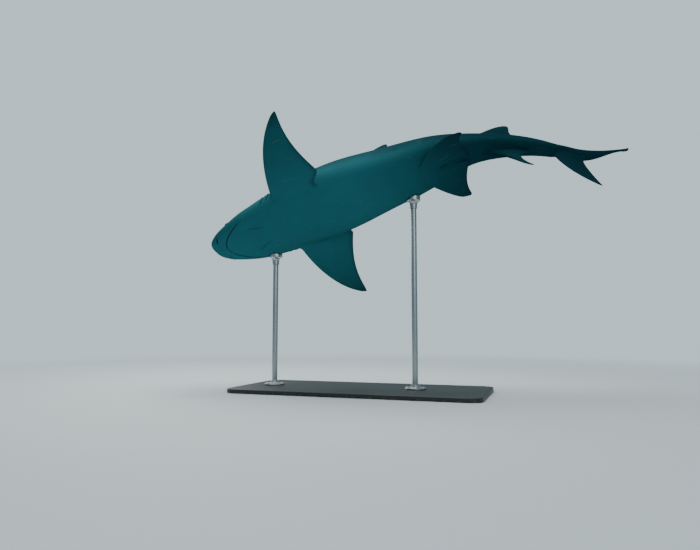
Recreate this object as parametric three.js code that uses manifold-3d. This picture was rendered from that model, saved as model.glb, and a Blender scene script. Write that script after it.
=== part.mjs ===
// Lemon shark, life size, in a banking turn on a display stand. Millimetres, +Z up.
//
// The shark is drawn straight first, in its own frame: x runs back from the snout tip, y to its
// right side, z up. Then its spine is bent sideways and the whole animal is turned and set on the
// stand. The part's frame has its origin in the middle of the underside of the stand's base.

import * as THREE from 'three';
import { mergeVertices } from 'three/addons/utils/BufferGeometryUtils.js';
import Module from 'manifold-3d';

// ---------------------------------------------------------------- driving dimensions

const LENGTH = 2500; // nominal total length, which every share below is a part of
const GAP = 0.4; // clearance between pieces that touch
const DEGREE = Math.PI / 180;

// Body: [place along the length, half width, height above and depth below the axis], in %.
const STATIONS = [
  [0, 0, 0, 0],
  [0.5, 1.82, 0.69, 0.6],
  [2, 3.06, 1.36, 1.25],
  [4.5, 4.07, 2.08, 1.95],
  [8, 4.97, 2.99, 2.8],
  [13, 5.86, 4.1, 3.7],
  [19, 6.6, 5.1, 4.65],
  [26, 7.09, 6.26, 5.85],
  [33, 7.03, 6.72, 6.32],
  [42, 5.98, 5.98, 5.69],
  [52, 4.63, 4.93, 4.55],
  [60, 2.76, 3.3, 3],
  [68, 1.87, 2.4, 2.15],
  [74.5, 1.3, 1.65, 1.45],
];
const WIDEST_LINE = -0.18; // height of the widest line, as a share of the depth below the axis
const SQUARENESS_TOP = 0.02; // how much fuller than an ellipse the back and the belly are
const SQUARENESS_BELLY = 0.06;
const SIDES = 26; // facets round the body

// Where the body is parted: head, gill section, front and rear trunk, tail stalk.
const HEAD_END = 0.165;
const GILLS_END = 0.3;
const FRONT_TRUNK_END = 0.455;
const REAR_TRUNK_END = 0.578;
const TAIL_ROOT = 0.745; // the notch in front of the caudal fin

// Spine: sideways turn, rise and twist of the axis, in degrees, at places along the length.
const SPINE_TURN = [[-0.02, -8.2], [0.12, -7.7], [0.27, -3.1], [0.4, 0], [0.55, 1.1], [0.615, 13.1],
  [0.68, 21.5], [0.8, 39.2], [0.9, 32.7], [1.05, 17.4]];
const SPINE_RISE = [[-0.02, -9.9], [0.12, -7.2], [0.2, -0.3], [0.4, 0], [0.7, -6.8], [1.05, 3.5]];
const SPINE_TWIST = [[0, 4.3], [0.22, -12], [0.4, 0], [0.7, -0.7], [1, -4.8]];
const SPINE_HOLD = 0.4; // the place along the length that the pose is set from
const SPINE_START = -0.02;
const SPINE_END = 1.05;
const SPINE_STEPS = 430;

// Pose on the stand: bank to the right, nose down, heading; and where the held place sits.
const BANK = -46;
const NOSE_DOWN = -17;
const HEADING = 4;
const HOLD_POINT = [85, -15, 1056];

// ---------------------------------------------------------------- helpers

const wasm = await Module();
wasm.setup();

const unit = (v) => v.map((c) => c / Math.hypot(...v));
const cross = (a, b) => [a[1] * b[2] - a[2] * b[1], a[2] * b[0] - a[0] * b[2], a[0] * b[1] - a[1] * b[0]];
const mix = (a, b, s) => a + (b - a) * s;
const along = (p, ...steps) => p.map((c, i) => steps.reduce((sum, [d, v]) => sum + d * v[i], c));

// Smooth curve through points, with slopes from the neighbours on both sides.
function curve(points) {
  const xs = points.map((p) => p[0]);
  const ys = points.map((p) => p[1]);
  const last = xs.length - 1;
  const step = xs.slice(1).map((x, i) => x - xs[i]);
  const rise = step.map((h, i) => (ys[i + 1] - ys[i]) / h);
  const slope = ys.map((_, i) => (i === 0 || i === last ? 0
    : (rise[i - 1] * step[i] + rise[i] * step[i - 1]) / (step[i - 1] + step[i])));
  slope[0] = 1.5 * rise[0] - 0.5 * slope[1];
  slope[last] = 1.5 * rise[last - 1] - 0.5 * slope[last - 1];
  return (x) => {
    let i = 0;
    while (i < last - 1 && x > xs[i + 1]) i += 1;
    const u = (x - xs[i]) / step[i];
    const v = 1 - u;
    return (1 + 2 * u) * v * v * ys[i] + u * v * v * step[i] * slope[i]
      + u * u * (3 - 2 * u) * ys[i + 1] - u * u * v * step[i] * slope[i + 1];
  };
}

// Points along a Bezier curve of three or four control points.
function bezier(control, count) {
  const order = control.length - 1;
  const weight = order === 3 ? [1, 3, 3, 1] : [1, 2, 1];
  return Array.from({ length: count }, (_, k) => {
    const s = k / (count - 1);
    return control[0].map((_, axis) => control.reduce(
      (sum, p, i) => sum + weight[i] * (1 - s) ** (order - i) * s ** i * p[axis], 0));
  });
}

// Linear reading of a polyline whose points run up in their first number.
function read(line, x) {
  let i = 0;
  while (i < line.length - 2 && x > line[i + 1][0]) i += 1;
  const [[x0, y0], [x1, y1]] = [line[i], line[i + 1]];
  return mix(y0, y1, Math.min(1, Math.max(0, (x - x0) / (x1 - x0 || 1))));
}

// ---------------------------------------------------------------- body surface, straight

const section = [1, 2, 3].map((column) => (
  curve(STATIONS.map((station) => [Math.sqrt(station[0] / 100), station[column] / 100]))));
const halfWidth = (t) => section[0](Math.sqrt(t));
const top = (t) => section[1](Math.sqrt(t));
const depth = (t) => section[2](Math.sqrt(t));

// A point of the body's surface, in shares of the length, grown outwards by a share.
function skinPoint(t, angle, grow = 0) {
  const c = Math.cos(angle);
  const s = Math.sin(angle);
  const low = depth(t);
  const middle = WIDEST_LINE * low;
  const full = 1 + (s > 0 ? SQUARENESS_TOP : SQUARENESS_BELLY) * Math.sin(2 * angle) ** 2;
  const reach = s > 0 ? top(t) - middle : low + middle;
  return [t, (halfWidth(t) + grow) * c * full, middle + (reach + grow) * s * full];
}

// ---------------------------------------------------------------- pose

const turn = curve(SPINE_TURN.map(([t, a]) => [t, a * DEGREE]));
const rise = curve(SPINE_RISE.map(([t, a]) => [t, a * DEGREE]));
const twist = curve(SPINE_TWIST.map(([t, a]) => [t, a * DEGREE]));

// The spine as a chain of frames: place, sideways axis and upward axis at each step.
const SPINE_STEP = (SPINE_END - SPINE_START) / SPINE_STEPS;
const spine = [];
for (let i = 0; i <= SPINE_STEPS; i += 1) {
  const t = SPINE_START + i * SPINE_STEP;
  const [a, b, w] = [turn(t), rise(t), twist(t)];
  const back = [Math.cos(a) * Math.cos(b), Math.sin(a) * Math.cos(b), Math.sin(b)];
  const flat = [-Math.sin(a), Math.cos(a), 0];
  const high = cross(back, flat);
  const side = along([0, 0, 0], [Math.cos(w), flat], [Math.sin(w), high]);
  const up = along([0, 0, 0], [Math.cos(w), high], [-Math.sin(w), flat]);
  const before = spine[i - 1];
  const place = before
    ? along(before.place, [SPINE_STEP / 2, before.back], [SPINE_STEP / 2, back])
    : [0, 0, 0];
  spine.push({ place, back, side, up });
}

function spineAt(t) {
  const f = Math.min(SPINE_STEPS - 1e-6, Math.max(0, (t - SPINE_START) / SPINE_STEP));
  const i = Math.floor(f);
  const blend = (key) => spine[i][key].map((c, k) => mix(c, spine[i + 1][key][k], f - i));
  return { place: blend('place'), side: blend('side'), up: blend('up') };
}

const held = spineAt(SPINE_HOLD).place;
const stance = new THREE.Matrix4().makeRotationFromEuler(
  new THREE.Euler(BANK * DEGREE, NOSE_DOWN * DEGREE, HEADING * DEGREE, 'ZYX'));
stance.setPosition(...HOLD_POINT);

// From the straight shark, in shares of the length, to the posed shark in millimetres.
function pose([x, y, z]) {
  const { place, side, up } = spineAt(x);
  const bent = along(place, [-1, held], [y, side], [z, up]);
  return new THREE.Vector3(...bent).multiplyScalar(LENGTH).applyMatrix4(stance).toArray();
}

// ---------------------------------------------------------------- solids

function solid(points, faces) {
  const at = (i) => points[i];
  const volume = faces.reduce((sum, [a, b, c]) => {
    const n = cross(at(b), at(c));
    return sum + at(a)[0] * n[0] + at(a)[1] * n[1] + at(a)[2] * n[2];
  }, 0);
  const triVerts = new Uint32Array((volume < 0 ? faces.map(([a, b, c]) => [a, c, b]) : faces).flat());
  const vertProperties = new Float32Array(points.flat());
  return new wasm.Manifold(new wasm.Mesh({ numProp: 3, vertProperties, triVerts }));
}

// Closed solid over a row of rings of points; both ends are closed from their middles.
function loft(rings) {
  const sides = rings[0].length;
  const points = rings.flat();
  const faces = [];
  rings.slice(1).forEach((_, i) => {
    for (let j = 0; j < sides; j += 1) {
      const [a, b] = [i * sides + j, i * sides + (j + 1) % sides];
      faces.push([a, b, b + sides], [a, b + sides, a + sides]);
    }
  });
  [[0, true], [rings.length - 1, false]].forEach(([ring, isFirst]) => {
    const middle = points.length;
    points.push([0, 1, 2].map((k) => rings[ring].reduce((sum, p) => sum + p[k], 0) / sides));
    for (let j = 0; j < sides; j += 1) {
      const [a, b] = [ring * sides + j, ring * sides + (j + 1) % sides];
      faces.push(isFirst ? [b, a, middle] : [a, b, middle]);
    }
  });
  return solid(points, faces);
}

// A three.js geometry, already in place, as a solid.
function solidOf(geometry) {
  const bare = geometry.clone();
  bare.deleteAttribute('normal');
  bare.deleteAttribute('uv');
  const merged = mergeVertices(bare, 1e-4);
  return new wasm.Manifold(new wasm.Mesh({
    numProp: 3,
    vertProperties: new Float32Array(merged.attributes.position.array),
    triVerts: new Uint32Array(merged.index.array),
  }));
}

function geometryOf(shape) {
  const mesh = shape.getMesh();
  const flat = new THREE.BufferGeometry();
  flat.setAttribute('position', new THREE.BufferAttribute(new Float32Array(mesh.vertProperties), 3));
  flat.setIndex(Array.from(mesh.triVerts));
  flat.computeVertexNormals();
  return flat;
}

const shark = new THREE.Group();
function addPiece(name, shape, material) {
  const mesh = new THREE.Mesh(geometryOf(shape), material.clone());
  mesh.name = name;
  shark.add(mesh);
}

const flesh = (color) => new THREE.MeshStandardMaterial({ color, roughness: 0.5, metalness: 0 });
const BODY_SKIN = flesh(0x7c8070);
const FIN_SKIN = flesh(0x6d7266);
const JAW_SKIN = flesh(0xb9b8a6);
const EYE = new THREE.MeshStandardMaterial({ color: 0x8a7a3c, roughness: 0.15, metalness: 0 });
const STEEL = new THREE.MeshStandardMaterial({ color: 0x9a9c9e, roughness: 0.35, metalness: 1 });
const BASE_PAINT = new THREE.MeshStandardMaterial({ color: 0x2c2f31, roughness: 0.45, metalness: 0.3 });
const RUBBER = new THREE.MeshStandardMaterial({ color: 0x1c1c1d, roughness: 0.8, metalness: 0 });

// ---------------------------------------------------------------- body pieces

// A length of the body between two places, with a chosen number of rings.
function bodyLength(from, to, count, { grow = 0, bunch = 1 } = {}) {
  const rings = Array.from({ length: count }, (_, i) => {
    const t = mix(from, to, (i / (count - 1)) ** bunch);
    return Array.from({ length: SIDES }, (_, j) => pose(skinPoint(t, (j / SIDES) * 2 * Math.PI, grow)));
  });
  return loft(rings);
}

const PART_LINE = GAP / 2 / LENGTH;
const SNOUT_TIP = 0.0004;
const headLength = bodyLength(SNOUT_TIP, HEAD_END - PART_LINE, 13, { bunch: 1.7 });
const gillLength = bodyLength(HEAD_END + PART_LINE, GILLS_END - PART_LINE, 8);
const frontTrunk = bodyLength(GILLS_END + PART_LINE, FRONT_TRUNK_END - PART_LINE, 7);
const rearTrunk = bodyLength(FRONT_TRUNK_END + PART_LINE, REAR_TRUNK_END - PART_LINE, 7);
const tailStalk = bodyLength(REAR_TRUNK_END + PART_LINE, TAIL_ROOT - PART_LINE, 10);

// The whole body a little larger, which fins and pads are cut back to.
const SKIN_CLEARANCE = 1.7 * GAP;
const CLEARANCE_END = TAIL_ROOT + 0.004;
const clearance = bodyLength(SNOUT_TIP, CLEARANCE_END, 46, { grow: SKIN_CLEARANCE / LENGTH });

// Frame on the body's flank: place on the surface, and the outward direction there.
function flankFrame(t, angle) {
  const [stepBack, stepRound] = [0.002, 0.02];
  const place = pose(skinPoint(t, angle));
  const backwards = unit(along(pose(skinPoint(t + stepBack, angle)), [-1, place]));
  const around = unit(along(pose(skinPoint(t, angle + stepRound)), [-1, place]));
  return { place, backwards, around, out: unit(cross(around, backwards)) };
}

function ball(centre, radius, [wide, high] = [14, 8]) {
  const sphere = new THREE.SphereGeometry(radius, wide, high);
  sphere.translate(...centre);
  return solidOf(sphere);
}

// Eyes: balls sunk in the sides of the head, a little above its widest line.
const EYE_PLACE = 0.068;
const EYE_ANGLE = 17 * DEGREE;
const EYE_RADIUS = 17;
const EYE_PROUD = 5.5; // how far the ball stands out of the head
const eyeSpots = [['eye_right', EYE_ANGLE], ['eye_left', Math.PI - EYE_ANGLE]].map(([name, angle]) => {
  const { place, out } = flankFrame(EYE_PLACE, angle);
  return { name, centre: along(place, [EYE_PROUD - EYE_RADIUS, out]) };
});

// Nostrils: slanting ovals under the snout.
const NOSTRIL_PLACE = 0.033;
const NOSTRIL_ANGLE = -48 * DEGREE;
const NOSTRIL_SIZE = [17, 6, 7]; // half length, half width, half depth
const NOSTRIL_SLANT = 35 * DEGREE;
function nostril(angle, slant) {
  const { place, backwards, around, out } = flankFrame(NOSTRIL_PLACE, angle);
  const long = along([0, 0, 0], [Math.cos(slant), around], [Math.sin(slant), backwards]);
  const across = cross(out, long);
  const oval = new THREE.SphereGeometry(1, 10, 6);
  const axes = [long, across, out].map((v, k) => new THREE.Vector3(...v).multiplyScalar(NOSTRIL_SIZE[k]));
  oval.applyMatrix4(new THREE.Matrix4().makeBasis(...axes).setPosition(...place));
  return solidOf(oval);
}

// Lower jaw: the floor of the head behind the curve of the mouth.
const MOUTH_APEX = 0.0472;
const MOUTH_CORNER = 0.1078;
const MOUTH_HALF_WIDTH = 0.0449;
const MOUTH_BLUNTNESS = 2.1; // 1 is a pointed arch, 2 a rounded one
const JAW_END = 0.118;
const JAW_ROOF = -0.007;
const JAW_FLOOR = -0.05; // below the head's underside
const LIP_GAP = 1.4;
function jawBlock(grow, lift) {
  const count = 13;
  const outline = Array.from({ length: count }, (_, i) => {
    const y = mix(-1, 1, i / (count - 1));
    return [MOUTH_APEX - grow + (MOUTH_CORNER - MOUTH_APEX) * Math.abs(y) ** MOUTH_BLUNTNESS,
      y * (MOUTH_HALF_WIDTH + grow)];
  });
  outline.push([JAW_END + lift, MOUTH_HALF_WIDTH + grow], [JAW_END + lift, -MOUTH_HALF_WIDTH - grow]);
  return loft([JAW_FLOOR, JAW_ROOF + lift].map((z) => outline.map(([x, y]) => pose([x, y, z]))));
}

const jawCut = jawBlock(LIP_GAP / LENGTH, GAP / LENGTH);
let head = headLength.subtract(jawCut);
eyeSpots.forEach(({ centre }) => {
  head = head.subtract(ball(centre, EYE_RADIUS + GAP));
});
head = head.subtract(nostril(NOSTRIL_ANGLE, NOSTRIL_SLANT));
head = head.subtract(nostril(Math.PI - NOSTRIL_ANGLE, Math.PI - NOSTRIL_SLANT));
addPiece('head', head, BODY_SKIN);
addPiece('lower_jaw', headLength.intersect(jawBlock(0, 0)), JAW_SKIN);
eyeSpots.forEach(({ name, centre }) => addPiece(name, ball(centre, EYE_RADIUS), EYE));

// Gill slits: five thin cuts in each side, the last two above the pectoral fin. Each row is the
// slit's place along the length and the angles of its lower and upper ends round the body.
const GILL_SLITS = [[0.17, -33, 20], [0.184, -32, 22], [0.198, -19, 24], [0.212, -8, 26], [0.226, -1, 26]];
const SLIT_WIDTH = 3;
const SLIT_DEPTH = 9;
const SLIT_BOW = 0.006; // how far back the slit's middle bows
const SLIT_TOOL_PROUD = 4; // how far the cutting shape stands out of the skin
const SLIT_TAPER = 0.12; // share of the half wave that is left off each end, so that the ends stay cut
function gillSlit([place, from, to], isLeft) {
  const count = 5;
  const half = SLIT_WIDTH / 2 / LENGTH;
  const rings = Array.from({ length: count }, (_, i) => {
    const s = i / (count - 1);
    const angle = mix(from, to, s) * DEGREE;
    const t = place + SLIT_BOW * Math.sin(Math.PI * s);
    const depthHere = SLIT_DEPTH * Math.sin(Math.PI * mix(SLIT_TAPER, 1 - SLIT_TAPER, s));
    const [high, low] = [SLIT_TOOL_PROUD, -depthHere];
    return [[-half, high], [half, high], [half, low], [-half, low]].map(([dx, grow]) => (
      pose(skinPoint(t + dx, isLeft ? Math.PI - angle : angle, grow / LENGTH))));
  });
  return loft(rings);
}
let gills = gillLength;
GILL_SLITS.forEach((slit) => [false, true].forEach((isLeft) => {
  gills = gills.subtract(gillSlit(slit, isLeft));
}));
addPiece('gill_section', gills, BODY_SKIN);
addPiece('trunk_front', frontTrunk, BODY_SKIN);
addPiece('trunk_rear', rearTrunk, BODY_SKIN);
addPiece('tail_stalk', tailStalk, BODY_SKIN);

// ---------------------------------------------------------------- fins

const FIN_EDGE = 1.7; // thickness of a fin's rear edge
const FIN_TIP_CHORD = 3; // least breadth of a fin, at its tip
const FIN_TIP_SHARE = 0.12; // thickness at the tip, as a share of that at the base
const FLARE_REACH = 0.012; // how far up a fin its thicker root dies away
const TIP_CENTRE = 0.7; // where along the chord a fin's rounded tip closes
const TIP_ROUNDING = 1.3; // length of the rounding, as a share of what it takes off the point
const EDGE_POINTS = 30;
const CHORD_STEPS = [0, 0.03, 0.12, 0.3, 0.55, 0.8, 1];

// Share of the greatest thickness at a share of the chord, as on a wing section.
const wingSection = (c) => (0.2969 * Math.sqrt(c) - 0.126 * c - 0.3516 * c * c + 0.2843 * c ** 3
  - 0.1015 * c ** 4) / 0.1;

// A fin from its outline in its own plane: u runs back along the base, v outwards.
// front: base to tip; rear: tip to free rear tip; inner: free rear tip to the base's end.
// blunt: how much of the pointed outline the rounded tip takes off.
function finSolid({ front, rear, inner, origin, back, out, thick, flare, blunt, rows = 8, root = -0.03 }) {
  const lead = bezier(front, EDGE_POINTS).map(([u, v]) => [v, u]);
  const behind = [...bezier(rear, EDGE_POINTS), ...bezier(inner, EDGE_POINTS).slice(1)];
  const trail = behind.map(([u, v]) => [v, u]).reverse();
  const reach = lead[lead.length - 1][0] - blunt;
  const lastRow = reach - 0.15 * blunt;
  const face = unit(cross(back, out));
  const rings = Array.from({ length: rows }, (_, i) => {
    const v = i === 0 ? root : lastRow * Math.sin((i - 1) / (rows - 2) * Math.PI / 2);
    const shown = Math.max(0, v);
    const [first, last] = [read(lead, shown), read(trail, shown)];
    const closing = Math.max(0, 1 - (reach - shown) / (TIP_ROUNDING * blunt));
    const kept = Math.sqrt(1 - closing ** 2);
    const centre = mix(first, last, TIP_CENTRE);
    const from = mix(centre, first, kept);
    const to = Math.max(mix(centre, last, kept), from + FIN_TIP_CHORD / LENGTH);
    const thickness = thick * mix(1, FIN_TIP_SHARE, shown / reach) + flare * Math.exp(-shown / FLARE_REACH);
    const spot = (c, side) => {
      const half = Math.max(thickness * wingSection(c) / 2, c === 0 ? 0 : FIN_EDGE / 2 / LENGTH);
      return pose(along(origin, [mix(from, to, c), back], [v, out], [side * half, face]));
    };
    const upper = CHORD_STEPS.map((c) => spot(c, 1));
    const lower = CHORD_STEPS.slice(1).reverse().map((c) => spot(c, -1));
    return [...upper, ...lower];
  });
  return loft(rings).subtract(clearance);
}

// Pectoral fins: long swept blades low on the flanks, tilted down.
const PECTORAL_PLACE = 0.1983;
const PECTORAL_SPAN = 0.1785;
const PECTORAL_SWEEP = 33 * DEGREE;
const PECTORAL_BASE = 0.0984;
const PECTORAL_REAR_TIP = [0.1165, 0.018];
const PECTORALS = {
  pectoral_fin_left: { side: -1, droop: -7.8 * DEGREE, swing: 2.5 * DEGREE, pitch: -13.9 * DEGREE },
  pectoral_fin_right: { side: 1, droop: 12.4 * DEGREE, swing: 2.3 * DEGREE, pitch: 10.7 * DEGREE },
};
Object.entries(PECTORALS).forEach(([name, { side, droop, swing, pitch }]) => {
  const tip = [PECTORAL_SPAN * Math.sin(PECTORAL_SWEEP), PECTORAL_SPAN * Math.cos(PECTORAL_SWEEP)];
  const flat = [0, side * Math.cos(droop), -Math.sin(droop)];
  const above = [0, side * Math.sin(droop), Math.cos(droop)];
  const level = along([0, 0, 0], [Math.cos(pitch), [1, 0, 0]], [Math.sin(pitch), above]);
  addPiece(name, finSolid({
    front: [[0, 0], [0.0125, 0.062], [tip[0] - 0.0545, tip[1] - 0.03], tip],
    rear: [tip, [tip[0] - 0.003, tip[1] - 0.03], [0.0833, 0.0871], PECTORAL_REAR_TIP],
    inner: [PECTORAL_REAR_TIP, [0.1145, 0.006], [PECTORAL_BASE, 0]],
    origin: [PECTORAL_PLACE, side * 0.86 * halfWidth(PECTORAL_PLACE), -0.52 * depth(PECTORAL_PLACE)],
    back: along([0, 0, 0], [Math.cos(swing), level], [Math.sin(swing), flat]),
    out: along([0, 0, 0], [Math.cos(swing), flat], [-Math.sin(swing), level]),
    thick: 0.0135,
    flare: 0.008,
    blunt: 0.0035,
    rows: 13,
    root: -0.035,
  }), FIN_SKIN);
});

// Pelvic fins: a pair of broad triangles under the rear of the belly.
const PELVIC_PLACE = 0.4843;
const PELVIC_BASE = 0.062;
const PELVIC_TIP = [0.0935, 0.0735];
const PELVIC_REAR_TIP = [0.1074, 0.0037];
const PELVIC_DROOP = 20.7 * DEGREE;
const PELVIC_TOE = 0.1; // how much the two bases close in towards the rear
[['pelvic_fin_left', -1], ['pelvic_fin_right', 1]].forEach(([name, side]) => {
  const back = unit([1, -side * PELVIC_TOE, 0.1]);
  const slope = [0, side * Math.cos(PELVIC_DROOP), -Math.sin(PELVIC_DROOP)];
  const lean = slope[1] * back[1] + slope[2] * back[2];
  addPiece(name, finSolid({
    front: [[0, 0], [0.0275, 0.0333], [PELVIC_TIP[0] - 0.0418, PELVIC_TIP[1]], PELVIC_TIP],
    rear: [PELVIC_TIP, [PELVIC_TIP[0] - 0.004, PELVIC_TIP[1] - 0.014], [0.0776, 0.0491], PELVIC_REAR_TIP],
    inner: [PELVIC_REAR_TIP, [0.094, 0.001], [PELVIC_BASE, 0]],
    origin: [PELVIC_PLACE, side * 0.2 * halfWidth(PELVIC_PLACE), -0.88 * depth(PELVIC_PLACE)],
    back,
    out: unit(along(slope, [-lean, back])),
    thick: 0.0095,
    flare: 0.004,
    blunt: 0.003,
    root: -0.016,
  }), FIN_SKIN);
});

// Fins on the midline: two dorsal fins and the anal fin, each leaning a little.
const MIDLINE_FINS = {
  first_dorsal_fin: {
    place: 0.3129, base: 0.1, above: true, lean: 1.3, thick: 0.0125, blunt: 0.0015,
    tip: [0.1105, 0.0912], front: [[0.034, 0.05], [-0.052, -0.0005]],
    rear: [[0.01, -0.02], [0.108, 0.036]], free: [0.138, 0.01], inner: [[0.125, 0.004], [0.1, 0]],
  },
  second_dorsal_fin: {
    place: 0.5855, base: 0.082, above: true, lean: -3.2, thick: 0.009, blunt: 0.0012,
    tip: [0.0801, 0.0606], front: [[0.0385, 0.0262], [-0.0251, -0.0015]],
    rear: [[0.0093, -0.0167], [0.0724, 0.0192]], free: [0.1146, 0.008], inner: [[0.102, 0.003], [0.082, 0]],
  },
  anal_fin: {
    place: 0.6134, base: 0.072, above: false, lean: -0.6, thick: 0.008, blunt: 0.001,
    tip: [0.086, 0.0653], front: [[0.0583, 0.0187], [-0.028, -0.002]],
    rear: [[-0.0176, -0.0182], [0.0537, 0.0106]], free: [0.1, 0.008], inner: [[0.09, 0.003], [0.072, 0]],
  },
};
Object.entries(MIDLINE_FINS).forEach(([name, fin]) => {
  const { place, base, above, tip } = fin;
  const edge = (t) => [t, 0, above ? top(t) : -depth(t)];
  const back = unit(along(edge(place + base), [-1, edge(place)]));
  const square = above ? [-back[2], 0, back[0]] : [back[2], 0, -back[0]];
  const lean = fin.lean * DEGREE;
  const off = ([du, dv]) => [tip[0] + du, tip[1] + dv];
  addPiece(name, finSolid({
    front: [[0, 0], fin.front[0], off(fin.front[1]), tip],
    rear: [tip, off(fin.rear[0]), fin.rear[1], fin.free],
    inner: [fin.free, ...fin.inner],
    origin: edge(place),
    back,
    out: along([0, 0, 0], [Math.cos(lean), square], [Math.sin(lean), [0, 1, 0]]),
    thick: fin.thick,
    flare: 0.004,
    blunt: fin.blunt,
    root: -0.014,
  }), FIN_SKIN);
});

// ---------------------------------------------------------------- caudal fin

const TAIL_TIP = [0.2254, 0.1456]; // back and up from the tail root, on the axis
const LOWER_TIP = [0.0739, -0.1182];
const FORK = [0.0675, -0.0088];
const LOWER_START = [0.0035, -0.0168];
const LOWER_REAR_TIP = [FORK[0] - 0.001, FORK[1] - 0.004];
const fromRoot = ([x, z]) => [TAIL_ROOT + x, z];
const beyondTip = (dx, dz) => fromRoot([TAIL_TIP[0] + dx, TAIL_TIP[1] + dz]);

const dorsalEdge = bezier([
  [TAIL_ROOT, top(TAIL_ROOT)], fromRoot([0.0443, 0.0335]), beyondTip(-0.0706, -0.0404), beyondTip(0, 0),
], 40);
const notch = beyondTip(-0.03, -0.03); // the small nick under the tip of the upper lobe
const lobeUnder = [
  [TAIL_ROOT, -depth(TAIL_ROOT)],
  ...bezier([fromRoot(LOWER_START), fromRoot([0.04, -0.012]), fromRoot(FORK)], 8),
  ...bezier([
    fromRoot(FORK), fromRoot([FORK[0] + 0.03, FORK[1] + 0.022]), beyondTip(-0.07, -0.05), notch,
  ], 16).slice(1),
  ...bezier([notch, beyondTip(-0.014, -0.028), beyondTip(-0.003, -0.012), beyondTip(0, 0)], 10).slice(1),
];

// Upper lobe: the body carried on into a blade that rises to the tail tip.
const LOBE_ROWS = 14;
const LOBE_HALF_THICKNESS = [[0, 0.013], [0.03, 0.0096], [0.07, 0.0064], [0.13, 0.0037], [0.2, 0.0016],
  [0.24, 0.0009]];
const LOBE_BLEND = 0.03; // how far the body's round section takes to become the blade's
const LOBE_SHARPNESS = 1.7; // 1 is an ellipse, more draws its edges thin
const LOBE_MIDDLE = 0.58; // height of the thickest line in the blade
const LOBE_REACH = TAIL_TIP[0] - 0.0006; // the last ring, just short of the tip
const lobeHalf = curve(LOBE_HALF_THICKNESS);
function lobeRing(t, grow = 0) {
  const [high, low] = [read(dorsalEdge, t), read(lobeUnder, t)];
  const changed = Math.min(1, (t - TAIL_ROOT) / LOBE_BLEND);
  const sharp = mix(1, LOBE_SHARPNESS, changed);
  const middle = mix(WIDEST_LINE * depth(TAIL_ROOT), mix(low, high, LOBE_MIDDLE), changed);
  return Array.from({ length: SIDES }, (_, j) => {
    const angle = (j / SIDES) * 2 * Math.PI;
    const [c, s] = [Math.cos(angle), Math.sin(angle)];
    const y = Math.sign(c) * Math.abs(c) ** sharp * (lobeHalf(t - TAIL_ROOT) + 1.5 * grow);
    return pose([t, y, middle + ((s > 0 ? high - middle : middle - low) + grow) * s]);
  });
}
const upperLobe = (grow) => loft(Array.from({ length: LOBE_ROWS }, (_, i) => {
  const s = i / (LOBE_ROWS - 1);
  const far = (LOBE_REACH - PART_LINE) * Math.sin(s * Math.PI / 2) ** 1.15;
  return lobeRing(TAIL_ROOT + PART_LINE + far, grow);
}));
addPiece('caudal_fin_upper', upperLobe(0), FIN_SKIN);

// Lower lobe: a short fin hung from the underside of the upper lobe.
const lowerBack = unit([FORK[0] - LOWER_START[0], 0, FORK[1] - LOWER_START[1]]);
const lowerOut = [lowerBack[2], 0, -lowerBack[0]];
const inLowerFrame = ([x, z]) => {
  const [dx, dz] = [x - LOWER_START[0], z - LOWER_START[1]];
  return [dx * lowerBack[0] + dz * lowerBack[2], dx * lowerOut[0] + dz * lowerOut[2]];
};
const lowerLobe = finSolid({
  front: [LOWER_START, [0.0099, -0.0563], [LOWER_TIP[0] - 0.0428, LOWER_TIP[1] + 0.0137], LOWER_TIP]
    .map(inLowerFrame),
  rear: [LOWER_TIP, [LOWER_TIP[0] - 0.0048, LOWER_TIP[1] + 0.0275], [FORK[0] - 0.006, FORK[1] - 0.03],
    LOWER_REAR_TIP].map(inLowerFrame),
  inner: [LOWER_REAR_TIP, [FORK[0] - 0.001, FORK[1] - 0.002], FORK].map(inLowerFrame),
  origin: [TAIL_ROOT + LOWER_START[0], 0, LOWER_START[1]],
  back: lowerBack,
  out: lowerOut,
  thick: 0.009,
  flare: 0.002,
  blunt: 0.0015,
  root: -0.008,
});
addPiece('caudal_fin_lower', lowerLobe.subtract(upperLobe(GAP / LENGTH)), FIN_SKIN);

// ---------------------------------------------------------------- stand

// Lowest point of the body's ring at a place, once posed.
function lowestPoint(t) {
  const count = 360;
  const ring = Array.from({ length: count }, (_, j) => pose(skinPoint(t, (j / count) * 2 * Math.PI)));
  return ring.reduce((low, p) => (p[2] < low[2] ? p : low));
}

// Base: a flat painted steel plate with rounded corners and a small bevel.
const BASE_LENGTH = 1240;
const BASE_WIDTH = 560;
const BASE_HEIGHT = 20;
const BASE_CORNER = 60;
const BASE_BEVEL = 3;
function basePlate() {
  const [x, y, r] = [BASE_LENGTH / 2 - BASE_BEVEL, BASE_WIDTH / 2 - BASE_BEVEL, BASE_CORNER - BASE_BEVEL];
  const outline = new THREE.Shape();
  outline.absarc(x - r, y - r, r, 0, Math.PI / 2);
  outline.absarc(r - x, y - r, r, Math.PI / 2, Math.PI);
  outline.absarc(r - x, r - y, r, Math.PI, 1.5 * Math.PI);
  outline.absarc(x - r, r - y, r, 1.5 * Math.PI, 2 * Math.PI);
  outline.closePath();
  const plate = new THREE.ExtrudeGeometry(outline, {
    depth: BASE_HEIGHT - 2 * BASE_BEVEL,
    bevelThickness: BASE_BEVEL,
    bevelSize: BASE_BEVEL,
    bevelSegments: 1,
    curveSegments: 5,
  });
  plate.translate(0, 0, BASE_BEVEL);
  return plate;
}
addPiece('stand_base', solidOf(basePlate()), BASE_PAINT);

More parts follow.
